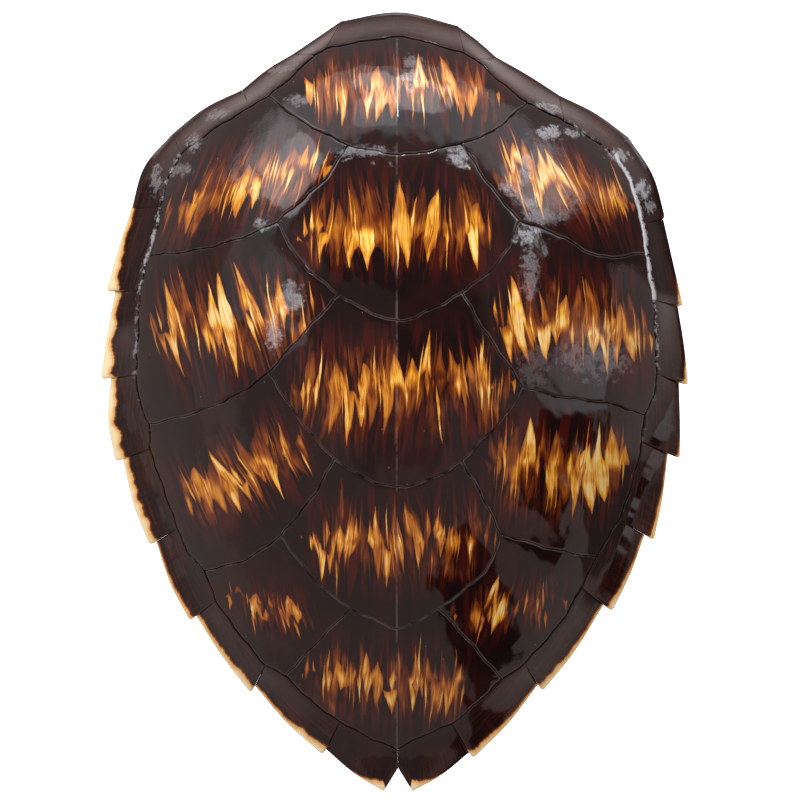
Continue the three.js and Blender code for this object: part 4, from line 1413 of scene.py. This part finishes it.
def flame_band_group(blade_row, zigzag):
    """Tortoiseshell flames: how bright each point is, from the dark ground (0) to cream (1)."""
    tree, given, result = new_group(
        "flame band",
        {"Place": "Vector", "Form": "Vector"},
        {"Heat": "Float", "Gold": "Float", "Red": "Float"},
    )
    u, t, strength = xyz(tree, given["Place"])
    head, tail, gathered = xyz(tree, given["Form"])
    strength = calc(tree, "MAXIMUM", strength, 0.0)

    def streaks(name):
        return stretched_noise(tree, u, t, *FLAME_STREAKS[name])

    def swayed(name):
        return between(tree, streaks(name), -FLAME_SWAY[name], FLAME_SWAY[name])

    fan, broad, fine = (swayed(name) for name in ("fan", "broad", "fine"))
    u = calc(tree, "MULTIPLY_ADD", fan, t, u)
    u = calc(tree, "ADD", calc(tree, "ADD", u, broad), fine)

    above = calc(tree, "SUBTRACT", 1.0, calc(tree, "DIVIDE", t, head))
    below = calc(tree, "ADD", 1.0, calc(tree, "DIVIDE", t, tail))
    inside = calc(tree, "MINIMUM", above, below)
    field = times(
        tree,
        smooth_step(tree, inside, -0.3, 0.7),
        strength,
        smooth_step(tree, streaks("fields"), 0.4, 0.6),
    )
    embers = smooth_step(tree, streaks("embers"), 0.36, 0.66)
    heat = times(tree, field, mix_value(tree, embers, *EMBER_HEAT))

    def row(number, heat, width, stagger, share, few, many, dull, bright):
        reach = between(tree, strength, share * LEAST_REACH["row"], share)
        stagger_apart, stagger_together = (stagger * part for part in STAGGER_SHARES)
        values = {
            "U": u,
            "T": t,
            "Head": times(tree, head, reach),
            "Tail": times(tree, tail, reach),
            "Width": width,
            "Stagger": between(tree, gathered, stagger_apart, stagger_together),
            "Share": times(tree, mix_value(tree, gathered, few, many), strength),
            "Dull": dull,
            "Bright": bright,
            "Seed": number * ROW_SEED["step"] + ROW_SEED["first"],
        }
        made = place_group(tree, blade_row, values)
        return mix_value(tree, made["Cover"], heat, made["Tone"])

    for number, given_row in enumerate(BACK_ROWS):
        heat = row(number, heat, *given_row)
    off_middle = calc(tree, "SUBTRACT", streaks("wander"), 0.5)
    middle = times(tree, off_middle, between(tree, gathered, *ZIGZAG["swing"]))
    reach = between(tree, strength, ZIGZAG["reach"] * LEAST_REACH["zigzag"], ZIGZAG["reach"])
    values = {
        "U": u,
        "T": calc(tree, "SUBTRACT", t, middle),
        "Head": times(tree, head, reach),
        "Tail": times(tree, tail, reach),
        "Width": mix_value(tree, gathered, *ZIGZAG["widths"]),
        "Base": times(tree, gathered, strength, ZIGZAG["base"]),
        "Share": times(tree, mix_value(tree, gathered, *ZIGZAG["shares"]), strength),
        "Dull": ZIGZAG["dull"],
        "Bright": mix_value(tree, gathered, *ZIGZAG["bright"]),
        "Seed": ZIGZAG["seed"],
    }
    made = place_group(tree, zigzag, values)
    heat = mix_value(tree, made["Cover"], heat, made["Tone"])
    for number, given_row in enumerate(FRONT_ROWS, len(BACK_ROWS)):
        heat = row(number, heat, *given_row)

    fibre = smooth_step(tree, streaks("fibre"), 0.42, 0.66)
    patch = smooth_step(tree, streaks("patch"), 0.4, 0.64)
    heat = times(tree, heat, mix_value(tree, fibre, *FIBRE_HEAT), mix_value(tree, patch, *PATCH_HEAT))
    put(tree, result["Heat"], calc(tree, "MINIMUM", heat, 1.0))
    put(tree, result["Gold"], smooth_step(tree, streaks("gold"), 0.62, 0.7))
    red = times(tree, smooth_step(tree, inside, -0.4, 0.5), smooth_step(tree, streaks("red"), 0.48, 0.62))
    put(tree, result["Red"], times(tree, red, strength))
    return tree


# How high each mark of wear stands, in mm.
WEAR_HEIGHTS = {"uneven": 0.07, "wrinkle": 0.2, "pore": 0.006, "crackle": 0.06, "scratch": -0.02}


def polish_wear_group():
    """The small marks in a polished surface: scratches, dust specks and a faint unevenness, in mm, and the
    rubbed spots' haze, which also carries their painted sheen.
    """
    tree, given, result = new_group(
        "polish wear",
        {"Place": "Vector", "Rubbed And Sheen": "Vector"},
        {"Height": "Float", "Scuff": "Float", "Speck": "Float", "Haze And Sheen": "Float"},
    )
    place = given["Place"]
    uneven = solid_noise(tree, place, 0.1, 5.0, 0.55)
    pores = solid_noise(tree, place, 0.9, 2.0)
    scratches = None
    for turn, seed in ((0.35, 3.0), (1.9, 41.0)):
        turned = add(
            tree,
            "ShaderNodeMapping",
            {"Vector": place, "Location": (seed, seed, 0.0), "Rotation": (0.0, 0.0, turn)},
        ).outputs[0]
        x, y, _ = xyz(tree, turned)
        line = stretched_noise(tree, x, y, 0.8, 55, 1.0)
        line = smooth_step(tree, line, 0.735, 0.77)
        scratches = line if scratches is None else calc(tree, "MAXIMUM", scratches, line)
    cells = add(tree, "ShaderNodeTexVoronoi", {"Vector": place, "Scale": 0.05}, voronoi_dimensions="3D")
    speck = calc(tree, "LESS_THAN", cells.outputs["Distance"], 0.024)
    ragged = solid_noise(tree, place, 0.14, 6.0, 0.72)
    worn, pale, wrinkled = xyz(tree, given["Rubbed And Sheen"])
    wrinkles = times(tree, solid_noise(tree, place, 0.17, 5.0, 0.62), wrinkled)
    rubbed_and_sheen = calc(tree, "ADD", worn, between(tree, ragged, -2.4, 2.2))
    rubbed_and_sheen = times(tree, smooth_step(tree, rubbed_and_sheen, 0.2, 0.95), smooth_step(tree, worn, 0.0, 0.3))
    crackle = solid_noise(tree, place, 0.8, 3.0, 0.6)
    marks = {
        "wrinkle": wrinkles,
        "pore": pores,
        "crackle": times(tree, crackle, rubbed_and_sheen),
        "scratch": times(tree, scratches, worn),
    }
    height = times(tree, uneven, WEAR_HEIGHTS["uneven"])
    for name, mark in marks.items():
        height = calc(tree, "MULTIPLY_ADD", mark, WEAR_HEIGHTS[name], height)
    put(tree, result["Height"], height)
    put(tree, result["Scuff"], times(tree, worn, solid_noise(tree, place, 0.5, 3.0)))
    put(tree, result["Speck"], speck)
    grain = between(tree, smooth_step(tree, crackle, 0.32, 0.64), 0.5, 1.0)
    put(tree, result["Haze And Sheen"], times(tree, rubbed_and_sheen, grain, pale))
    return tree


def place_in_mm(tree):
    """The point on the shell, in mm."""
    where = add(tree, "ShaderNodeTexCoord").outputs["Object"]
    scaled = add(tree, "ShaderNodeVectorMath", {0: where}, operation="SCALE")
    scaled.inputs["Scale"].default_value = 1 / MM
    return scaled.outputs[0]


# ---------------------------------------------------------------- materials
FLAME_COLOURS = (
    (0.0, "170808"),
    (0.13, "35130b"),
    (0.26, "692d11"),
    (0.4, "9c4f1b"),
    (0.54, "bf7129"),
    (0.68, "dc9642"),
    (0.83, "efbe6e"),
    (1.0, "fae0a6"),
)
GOLD_COLOURS = (
    (0.0, "170808"),
    (0.13, "35130b"),
    (0.26, "672c0b"),
    (0.4, "9d5c14"),
    (0.54, "c87f17"),
    (0.7, "e6a213"),
    (0.85, "f1bc36"),
    (1.0, "f7d378"),
)
HORN_COLOURS = {
    "dark": "150809",
    "brown": "260e0b",
    "red": "4a100b",
    # a painted sheen: the reflection painted on the rubbed spots
    "rubbed_and_sheen": "c2c4ca",
    "dust": "a59a92",
    # the painted highlight beside seams and along the keel
    "seam": "8a827c",
    "rim_streak": "5c2410",
    "rim_hair": "6a2c10",
    "rim_fringe": "984c17",
    "rim_amber": "e0a552",
    "rim_cream": "f6e2b6",
    # a painted highlight along the rim's inner edge
    "rim_highlight": "d4d6dc",
    "under_tan": "c98f45",
    "under_brown": "4a2212",
}
BONE_COLOURS = {"ivory": "d9c9a6", "tan": "a98a5c", "grain": "8a6a42", "pore": "5a4128"}
BONE_ROUGHNESS = (0.5, 0.75)
HORN_IOR = 1.54
# The roughness of each kind of plate, and what scuffs and rubbed spots add to it.
ROUGHNESS = {"vertebral": 0.035, "costal": 0.045, "margin": 0.09, "scuffed": 0.16, "rubbed_and_sheen": 0.45}

# The painted highlight beside a seam, a pale broken line where the seam's lip catches the light: how far
# from the seam it begins and ends, and how strongly it shows.
SEAM_HIGHLIGHT = {"near": (0.1, 0.35), "far": (1.25, 0.75), "strength": 0.27}
RED_STRENGTH = 0.85
DUST_STRENGTH = 0.5
# How strongly the colours of the rim show; worn is the painted highlight strip along the inner edge.
RIM_STRENGTHS = {"streak": 0.45, "hair": 0.2, "fringe": 0.85, "worn": 1.25}
RIM_STREAKS = {  # how wide and how long a streak is, its detail and a shift
    "streak": (1.6, 34, 3.0, 0.0),
    "hair": (2.2, 40, 3.0, 4.1),
    "scallop": (15, 90, 3.0, 2.3),
    "nibble": (2.6, 12, 2.0, 8.1),
}


def new_material(name):
    material = bpy.data.materials.new(name)
    material.use_nodes = True
    tree = material.node_tree
    shader = tree.nodes["Principled BSDF"]
    return material, tree, shader


def horn_colour(name):
    return hexcolour(HORN_COLOURS[name])


def horn_ground(tree, place):
    """The dark ground of the horn, a little redder and browner in places."""
    cloud = solid_noise(tree, place, 0.022, 3.0)
    return mix_colour(tree, smooth_step(tree, cloud, 0.42, 0.68), horn_colour("dark"), horn_colour("brown"))


def finish_polish(tree, shader, place, wear, roughness):
    """The gloss of oiled and buffed horn, with the wear's marks in it."""
    marks = place_group(tree, wear, {"Place": place, "Rubbed And Sheen": attribute(tree, "rubbed_and_sheen")})
    shader.inputs["IOR"].default_value = HORN_IOR
    rough = calc(tree, "MULTIPLY_ADD", marks["Scuff"], ROUGHNESS["scuffed"], roughness)
    rough = calc(tree, "MULTIPLY_ADD", marks["Haze And Sheen"], ROUGHNESS["rubbed_and_sheen"], rough)
    put(tree, shader.inputs["Roughness"], rough)
    bump = add(tree, "ShaderNodeBump", {"Strength": 1.0, "Distance": MM, "Height": marks["Height"]})
    put(tree, shader.inputs["Normal"], bump.outputs[0])
    return marks


def back_horn(name, band, wear, roughness):
    """The horn of the big plates, with its band of flames, a painted highlight beside its seams and painted
    sheen on its rubbed spots.
    """
    material, tree, shader = new_material(name)
    place = place_in_mm(tree)
    values = {"Place": attribute(tree, "flame_place"), "Form": attribute(tree, "flame_form")}
    made = place_group(tree, band, values)
    heat = made["Heat"]
    gold = calc(tree, "ADD", attribute(tree, "flame_gold", "Fac"), made["Gold"], clamp=True)
    flame = mix_colour(tree, gold, ramp(tree, heat, FLAME_COLOURS), ramp(tree, heat, GOLD_COLOURS))
    red = times(tree, made["Red"], RED_STRENGTH)
    ground = mix_colour(tree, red, horn_ground(tree, place), horn_colour("red"))
    colour = mix_colour(tree, smooth_step(tree, heat, 0.04, 0.16), ground, flame)
    marks = finish_polish(tree, shader, place, wear, roughness)
    # Painted sheen: the rubbed spots are painted a pale bluish white, standing in for reflected light.
    colour = mix_colour(tree, marks["Haze And Sheen"], colour, horn_colour("rubbed_and_sheen"))
    colour = mix_colour(tree, times(tree, marks["Speck"], DUST_STRENGTH), colour, horn_colour("dust"))
    # Painted highlight: a pale broken line beside each seam and along the keel.
    from_seam = attribute(tree, "from_seam", "Fac")
    line = smooth_step(tree, from_seam, *SEAM_HIGHLIGHT["near"])
    line = times(tree, line, smooth_step(tree, from_seam, *SEAM_HIGHLIGHT["far"]))
    broken = smooth_step(tree, solid_noise(tree, place, 0.05, 4.0, 0.6), 0.36, 0.6)
    line = times(tree, line, broken, SEAM_HIGHLIGHT["strength"])
    colour = mix_colour(tree, line, colour, horn_colour("seam"))
    put(tree, shader.inputs["Base Color"], colour)
    return material


def margin_horn(wear):
    """The horn of the rim: dark, streaked along the rim, with a pale scalloped outer edge, a painted
    highlight along the inner edge of some marginals, and painted sheen on rubbed spots.
    """
    material, tree, shader = new_material("margin horn")
    place = place_in_mm(tree)
    along, from_rim, pale = xyz(tree, attribute(tree, "margin_place"))
    under, highlight_strip, streaked = xyz(tree, attribute(tree, "margin_look"))
    streaks = stretched_noise(tree, from_rim, along, *RIM_STREAKS["streak"])
    brown = times(tree, smooth_step(tree, streaks, 0.48, 0.74), streaked, RIM_STRENGTHS["streak"])
    ground = mix_colour(tree, brown, horn_ground(tree, place), horn_colour("rim_streak"))
    hairs, scallop, nibble = (
        stretched_noise(tree, along, from_rim, *RIM_STREAKS[name])
        for name in ("hair", "scallop", "nibble")
    )
    tinge = times(tree, smooth_step(tree, hairs, 0.5, 0.7), smooth_step(tree, from_rim, 26.0, 4.0))
    tinge = times(tree, tinge, RIM_STRENGTHS["hair"])
    ground = mix_colour(tree, tinge, ground, horn_colour("rim_hair"))
    reach = between(tree, scallop, 0.3, 1.8)
    reach = calc(tree, "MULTIPLY_ADD", nibble, 0.25, reach)
    edge = calc(tree, "SUBTRACT", times(tree, pale, reach), from_rim)
    edge = calc(tree, "ADD", edge, times(tree, smooth_step(tree, pale, 1.0, 0.0), -3.0))
    fringe = smooth_step(tree, edge, -1.6, 0.3)
    cream = smooth_step(tree, edge, -0.1, 0.9)
    whole = smooth_step(tree, edge, 0.0, 5.5)
    horn = mix_colour(tree, whole, horn_colour("rim_amber"), horn_colour("rim_cream"))
    fringe = times(tree, fringe, RIM_STRENGTHS["fringe"])
    colour = mix_colour(tree, fringe, ground, horn_colour("rim_fringe"))
    colour = mix_colour(tree, cream, colour, horn)
    # A painted highlight: a broken pale strip along the inner edge of some marginals.
    broken = between(tree, solid_noise(tree, place, 0.14, 5.0, 0.75), -1.7, 1.7)
    strip = smooth_step(tree, calc(tree, "ADD", highlight_strip, broken), 0.3, 0.5)
    highlight_strip_strength = calc(tree, "MULTIPLY", highlight_strip, RIM_STRENGTHS["worn"], clamp=True)
    strip = times(tree, strip, highlight_strip_strength)
    colour = mix_colour(tree, strip, colour, horn_colour("rim_highlight"))
    blotch = smooth_step(tree, solid_noise(tree, place, 0.035, 3.0), 0.47, 0.6)
    below = mix_colour(tree, blotch, horn_colour("under_tan"), horn_colour("under_brown"))
    colour = mix_colour(tree, under, colour, below)
    marks = finish_polish(tree, shader, place, wear, ROUGHNESS["margin"])
    # Painted sheen: the rubbed spots are painted a pale bluish white, standing in for reflected light.
    colour = mix_colour(tree, marks["Haze And Sheen"], colour, horn_colour("rubbed_and_sheen"))
    put(tree, shader.inputs["Base Color"], colour)
    return material


def shield_bone():
    """Old, cleaned bone: ivory, with pores and tan stains."""
    material, tree, shader = new_material("shield bone")
    place = place_in_mm(tree)
    stain = smooth_step(tree, solid_noise(tree, place, 0.012, 4.0), 0.4, 0.68)
    grain = solid_noise(tree, place, 0.25, 5.0)
    ivory, tan, dark, hollow = (hexcolour(BONE_COLOURS[name]) for name in ("ivory", "tan", "grain", "pore"))
    colour = mix_colour(tree, stain, ivory, tan)
    colour = mix_colour(tree, times(tree, grain, 0.35), colour, dark)
    cells = add(tree, "ShaderNodeTexVoronoi", {"Vector": place, "Scale": 0.45}, voronoi_dimensions="3D")
    pore = smooth_step(tree, cells.outputs["Distance"], 0.24, 0.1)
    colour = mix_colour(tree, times(tree, pore, 0.6), colour, hollow)
    put(tree, shader.inputs["Base Color"], colour)
    put(tree, shader.inputs["Roughness"], between(tree, grain, *BONE_ROUGHNESS))
    height = calc(tree, "MULTIPLY_ADD", pore, -0.25, times(tree, grain, 0.5))
    bump = add(tree, "ShaderNodeBump", {"Strength": 0.8, "Distance": MM, "Height": height})
    put(tree, shader.inputs["Normal"], bump.outputs[0])
    return material


# ---------------------------------------------------------------- the stage
TABLE = {
    "colour": (0.07, 0.07, 0.07, 1),
    "roughness": 0.8,
    "half_width": 4000,
    "below": 0.2,
    "light": 0.42,
    "more_ahead": 0.08,
    "ahead": (0.05, 0.4),  # m, where it grows lighter towards the head
    "seen": 2.0,  # its light straight to the camera, past white
}

# Painted shade on the glowing table, as strips where its glow is dimmed, in m: on which side (1 is right),
# from where to where out from the middle, and between which two slanting edges (slope, place at the
# middle), the tail-end one first.
TABLE_SHADES = (
    {"side": 1, "span": (0.13, 4.0), "edges": ((-0.2, -0.164), (-0.3, 0.012))},
    {"side": 1, "span": (0.2, 4.0), "edges": ((0.3, 0.018), (0.5, 0.072))},
    {"side": -1, "span": (0.2, 0.31), "edges": ((0.0, 0.07), (0.0, 0.215))},
)
SHADE_BLUR = 0.02
SHADE_DEPTH = 0.88
# The tint of dim light and of bright light, against its red.
TINT = {"from_dim_to_bright": (0.45, 0.9), "green": (0.8, 0.99), "blue": (0.75, 1.02)}


def studio_tint(tree, light):
    """The studio's light: warm where it is dim, neutral where it is bright."""
    bright = smooth_step(tree, light, *TINT["from_dim_to_bright"])
    green = times(tree, light, mix_value(tree, bright, *TINT["green"]))
    blue = times(tree, light, mix_value(tree, bright, *TINT["blue"]))
    return combine(tree, light, green, blue)


# The table glows instead of being lit: white where the camera sees it, and elsewhere a dimmer glow that
# lights the horn and shows in it, lighter towards the head, with painted shade in strips.
def floor_piece():
    material, tree, shader = new_material("white table")
    shader.inputs["Base Color"].default_value = TABLE["colour"]
    shader.inputs["Roughness"].default_value = TABLE["roughness"]
    shader.inputs["Specular IOR Level"].default_value = 0.0
    shader.inputs["Emission Strength"].default_value = 1.0
    seen = add(tree, "ShaderNodeLightPath").outputs["Is Camera Ray"]
    right, ahead, _ = xyz(tree, add(tree, "ShaderNodeTexCoord").outputs["Object"])
    lit = times(tree, smooth_step(tree, ahead, *TABLE["ahead"]), TABLE["more_ahead"])
    lit = calc(tree, "ADD", lit, TABLE["light"])
    for shade in TABLE_SHADES:
        out = times(tree, right, float(shade["side"]))
        start, end = shade["span"]
        dark = smooth_step(tree, out, start - SHADE_BLUR, start + SHADE_BLUR)
        dark = times(tree, dark, smooth_step(tree, out, end + SHADE_BLUR, end - SHADE_BLUR))
        for half_blur, (slope, place) in zip((SHADE_BLUR / 2, -SHADE_BLUR / 2), shade["edges"]):
            past = calc(tree, "SUBTRACT", calc(tree, "MULTIPLY_ADD", out, -slope, ahead), place)
            dark = times(tree, dark, smooth_step(tree, past, -half_blur, half_blur))
        lit = times(tree, lit, between(tree, dark, 1.0, 1.0 - SHADE_DEPTH))
    lit = calc(tree, "MAXIMUM", lit, times(tree, seen, TABLE["seen"]))
    put(tree, shader.inputs["Emission Color"], studio_tint(tree, lit))
    half, below = TABLE["half_width"], -TABLE["below"]
    corners = [(-half, -half, below), (half, -half, below), (half, half, below), (-half, half, below)]
    floor = make_piece("white_table", corners, [(0, 1, 2, 3)])
    floor.data.materials.append(material)


# The studio as the polish mirrors it: panels of sky, each between two azimuths (from the head, towards
# the right) and two angles from overhead, all in degrees, with the light that it adds or takes away.
SKY_LIGHT = 0.42
SKY_PANELS = (
    {"azimuth": (-400, 400), "zenith": (-60, 32), "edge": 7, "light": -0.17},
    {"azimuth": (-52, 112), "zenith": (-60, 54), "edge": 2, "light": -0.14},
    {"azimuth": (-52, 60), "zenith": (60, 200), "edge": 5, "light": 0.9},
    {"azimuth": (-51, -31), "zenith": (55, 76), "edge": 3, "light": 2.6},
    {"azimuth": (-52, -34), "zenith": (77, 86), "edge": 3, "light": 1.1},
    {"azimuth": (-18, -5), "zenith": (64, 76), "edge": 2, "light": 1.2},
    {"azimuth": (-14, 17), "zenith": (73, 86), "edge": 2, "light": 2.4},
    {"azimuth": (43, 58), "zenith": (63, 92), "edge": 3, "light": 1.4},
    {"azimuth": (60, 88), "zenith": (54, 95), "edge": 3, "light": -0.3},
    {"azimuth": (-94, -62), "zenith": (34, 52), "edge": 5, "light": 0.5},
    {"azimuth": (-92, -50), "zenith": (52, 72), "edge": 6, "light": 0.35},
    {"azimuth": (-112, -96), "zenith": (72, 92), "edge": 5, "light": 0.2},
    {"azimuth": (92, 108), "zenith": (66, 92), "edge": 3, "light": 0.5},
    {"azimuth": (109, 119), "zenith": (65, 98), "edge": 2, "light": -0.38},
    {"azimuth": (136, 156), "zenith": (53, 94), "edge": 3, "light": -0.38},
)


def studio_sky():
    world = bpy.data.worlds.new("studio")
    bpy.context.scene.world = world
    world.use_nodes = True
    tree = world.node_tree
    tree.nodes.clear()
    x, y, z = xyz(tree, add(tree, "ShaderNodeTexCoord").outputs["Generated"])
    azimuth = calc(tree, "DEGREES", calc(tree, "ARCTAN2", x, y))
    zenith = calc(tree, "DEGREES", calc(tree, "ARCCOSINE", z))
    light = SKY_LIGHT
    for panel in SKY_PANELS:
        share = panel["light"]
        for angle, (low, high) in ((azimuth, panel["azimuth"]), (zenith, panel["zenith"])):
            half = panel["edge"] / 2
            share = times(tree, share, smooth_step(tree, angle, low - half, low + half))
            share = times(tree, share, smooth_step(tree, angle, high + half, high - half))
        light = calc(tree, "ADD", light, share)
    light = calc(tree, "MAXIMUM", light, 0.02)
    seen = add(tree, "ShaderNodeLightPath").outputs["Is Camera Ray"]
    light = mix_value(tree, seen, light, 1.0)
    background = add(tree, "ShaderNodeBackground", {"Color": studio_tint(tree, light)})
    put(tree, add(tree, "ShaderNodeOutputWorld").inputs["Surface"], background.outputs[0])


# Lamps, by the place on the back where the camera sees them mirrored, with their size and light.
GLINTS = (
    {"at": (114, 168), "size": (0.24, 0.1), "light": 9},
    {"at": (117, 142), "size": (0.2, 0.1), "light": 5},
    {"at": (-92, 87), "size": (0.1, 0.07), "light": 14},
    {"at": (2.6, 262), "size": (0.05, 0.5), "light": 50},
    {"at": (56, 209), "size": (0.14, 0.05), "light": 9},
    {"at": (-36, 208), "size": (0.12, 0.03), "light": 6},
)
LAMP_DISTANCE = 1600
OVERHEAD = {"place": (-500, 900, 3000), "size": 1400, "power": 62}


def mirrored_lamp(number, glint):
    """A softbox placed so that its reflection shows at one spot of the back, seen from above."""
    plan = np.array([glint["at"]], float)
    spot = Vector(on_dome(plan)[0])
    normal = Vector(dome_normal(plan[:, 0], plan[:, 1])[0])
    to_camera = (Vector(CAMERA["place"]) - spot).normalized()
    towards = 2 * normal.dot(to_camera) * normal - to_camera
    width, height = glint["size"]
    data = bpy.data.lights.new(f"softbox_{number}", "AREA")
    data.shape = "RECTANGLE"
    data.size, data.size_y = width, height
    data.energy = glint["light"] * math.pi * width * height
    lamp = bpy.data.objects.new(f"softbox_{number}", data)
    lamp.location = (spot + towards * LAMP_DISTANCE) * MM
    lamp.rotation_euler = (-towards).to_track_quat("-Z", "Y").to_euler()
    bpy.context.scene.collection.objects.link(lamp)


def overhead_lamp():
    """A broad soft light over the camera. It lights the horn, and its own mirror image is kept out."""
    data = bpy.data.lights.new("overhead", "AREA")
    data.shape = "DISK"
    data.size = OVERHEAD["size"] * MM
    data.energy = OVERHEAD["power"]
    lamp = bpy.data.objects.new("overhead", data)
    lamp.location = mm(*OVERHEAD["place"])
    aim = -Vector(OVERHEAD["place"])
    lamp.rotation_euler = aim.to_track_quat("-Z", "Y").to_euler()
    lamp.visible_glossy = False
    bpy.context.scene.collection.objects.link(lamp)


def make_camera():
    data = bpy.data.cameras.new("camera")
    data.lens = CAMERA["lens"]
    data.sensor_width = CAMERA["sensor"]
    camera = bpy.data.objects.new("camera", data)
    camera.location = mm(*CAMERA["place"])
    bpy.context.scene.collection.objects.link(camera)
    bpy.context.scene.camera = camera


# ---------------------------------------------------------------- the shell
def build_shell():
    band = flame_band_group(blade_row_group(), zigzag_group())
    wear = polish_wear_group()
    vertebral = back_horn("vertebral horn", band, wear, ROUGHNESS["vertebral"])
    costal = back_horn("costal horn", band, wear, ROUGHNESS["costal"])
    margin = margin_horn(wear)
    bone = shield_bone()

    for i, names in enumerate(VERTEBRAL_OUTLINES, 1):
        plate = back_plate(f"vertebral_plate_{i}", names, FLAME_BANDS[f"vertebral_{i}"], i, on_keel=True)
        fit_piece(plate, vertebral, "vertebral_horn", f"vertebral_scute_{i}")
    for side, shift in (("left", 10), ("right", 20)):
        for i, names in enumerate(COSTAL_OUTLINES, 1):
            key = f"costal_{side}_{i}"
            plate = back_plate(f"{key}_plate", sided(names, side), FLAME_BANDS[key], i + shift)
            fit_piece(plate, costal, "costal_horn", f"costal_scute_{side}_{i}")
        for i, names in enumerate(MARGINAL_INNER):
            last = i == len(MARGINAL_INNER) - 1
            start = RIM_SEAMS[side][i]
            corner = TAIL_TIPS[side] if last else tail_corner(side, i)
            rim = rim_curve(start, corner, RIM_BULGE[side][i])
            notch = RIM_SEAMS[side][i + 1] if last else None
            node = f"supracaudal_scute_{side}" if last else f"marginal_scute_{side}_{i + 1}"
            plate = margin_plate(
                node.replace("scute", "plate"),
                sided(names, side),
                rim,
                PALE_EDGE[side][i],
                i + shift,
                notch,
                corner=TIP_OVERHANG[side][i] > 0,
                highlight_strip=HIGHLIGHT_STRIPS[side][i],
            )
            fit_piece(plate, margin, "margin_horn", node)
    front = [RIM_SEAMS["left"][0], NUCHAL_FRONT, RIM_SEAMS["right"][0]]
    plate = margin_plate("nuchal_plate", ["nuchal_left", "nuchal_right"], front, (0, 0), 5, corner=False)
    fit_piece(plate, margin, "margin_horn", "nuchal_scute")

    fit_piece(bone_shield(), bone, "bone", "carapace_bone")
    tree = bone_bar_tree()
    ribs = [rib_line(side, i) for side in (-1, 1) for i in range(RIBS["pairs"])]
    taper = np.linspace(1.0, RIBS["tip_girth"], RIBS["steps"])
    fit_bars(swept_bars("bone_ribs", ribs, [taper] * len(ribs), RIBS, tree, bone))
    fit_bars(swept_bars("bone_spine", [spine_line()], [spine_girth()], SPINE, tree, bone))


def fit_bars(piece):
    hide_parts("carapace_bone")
    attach(piece, "root")


build_shell()
floor_piece()
studio_sky()
for number, glint in enumerate(GLINTS, 1):
    mirrored_lamp(number, glint)
overhead_lamp()
make_camera()
bpy.context.scene.view_settings.view_transform = "Standard"
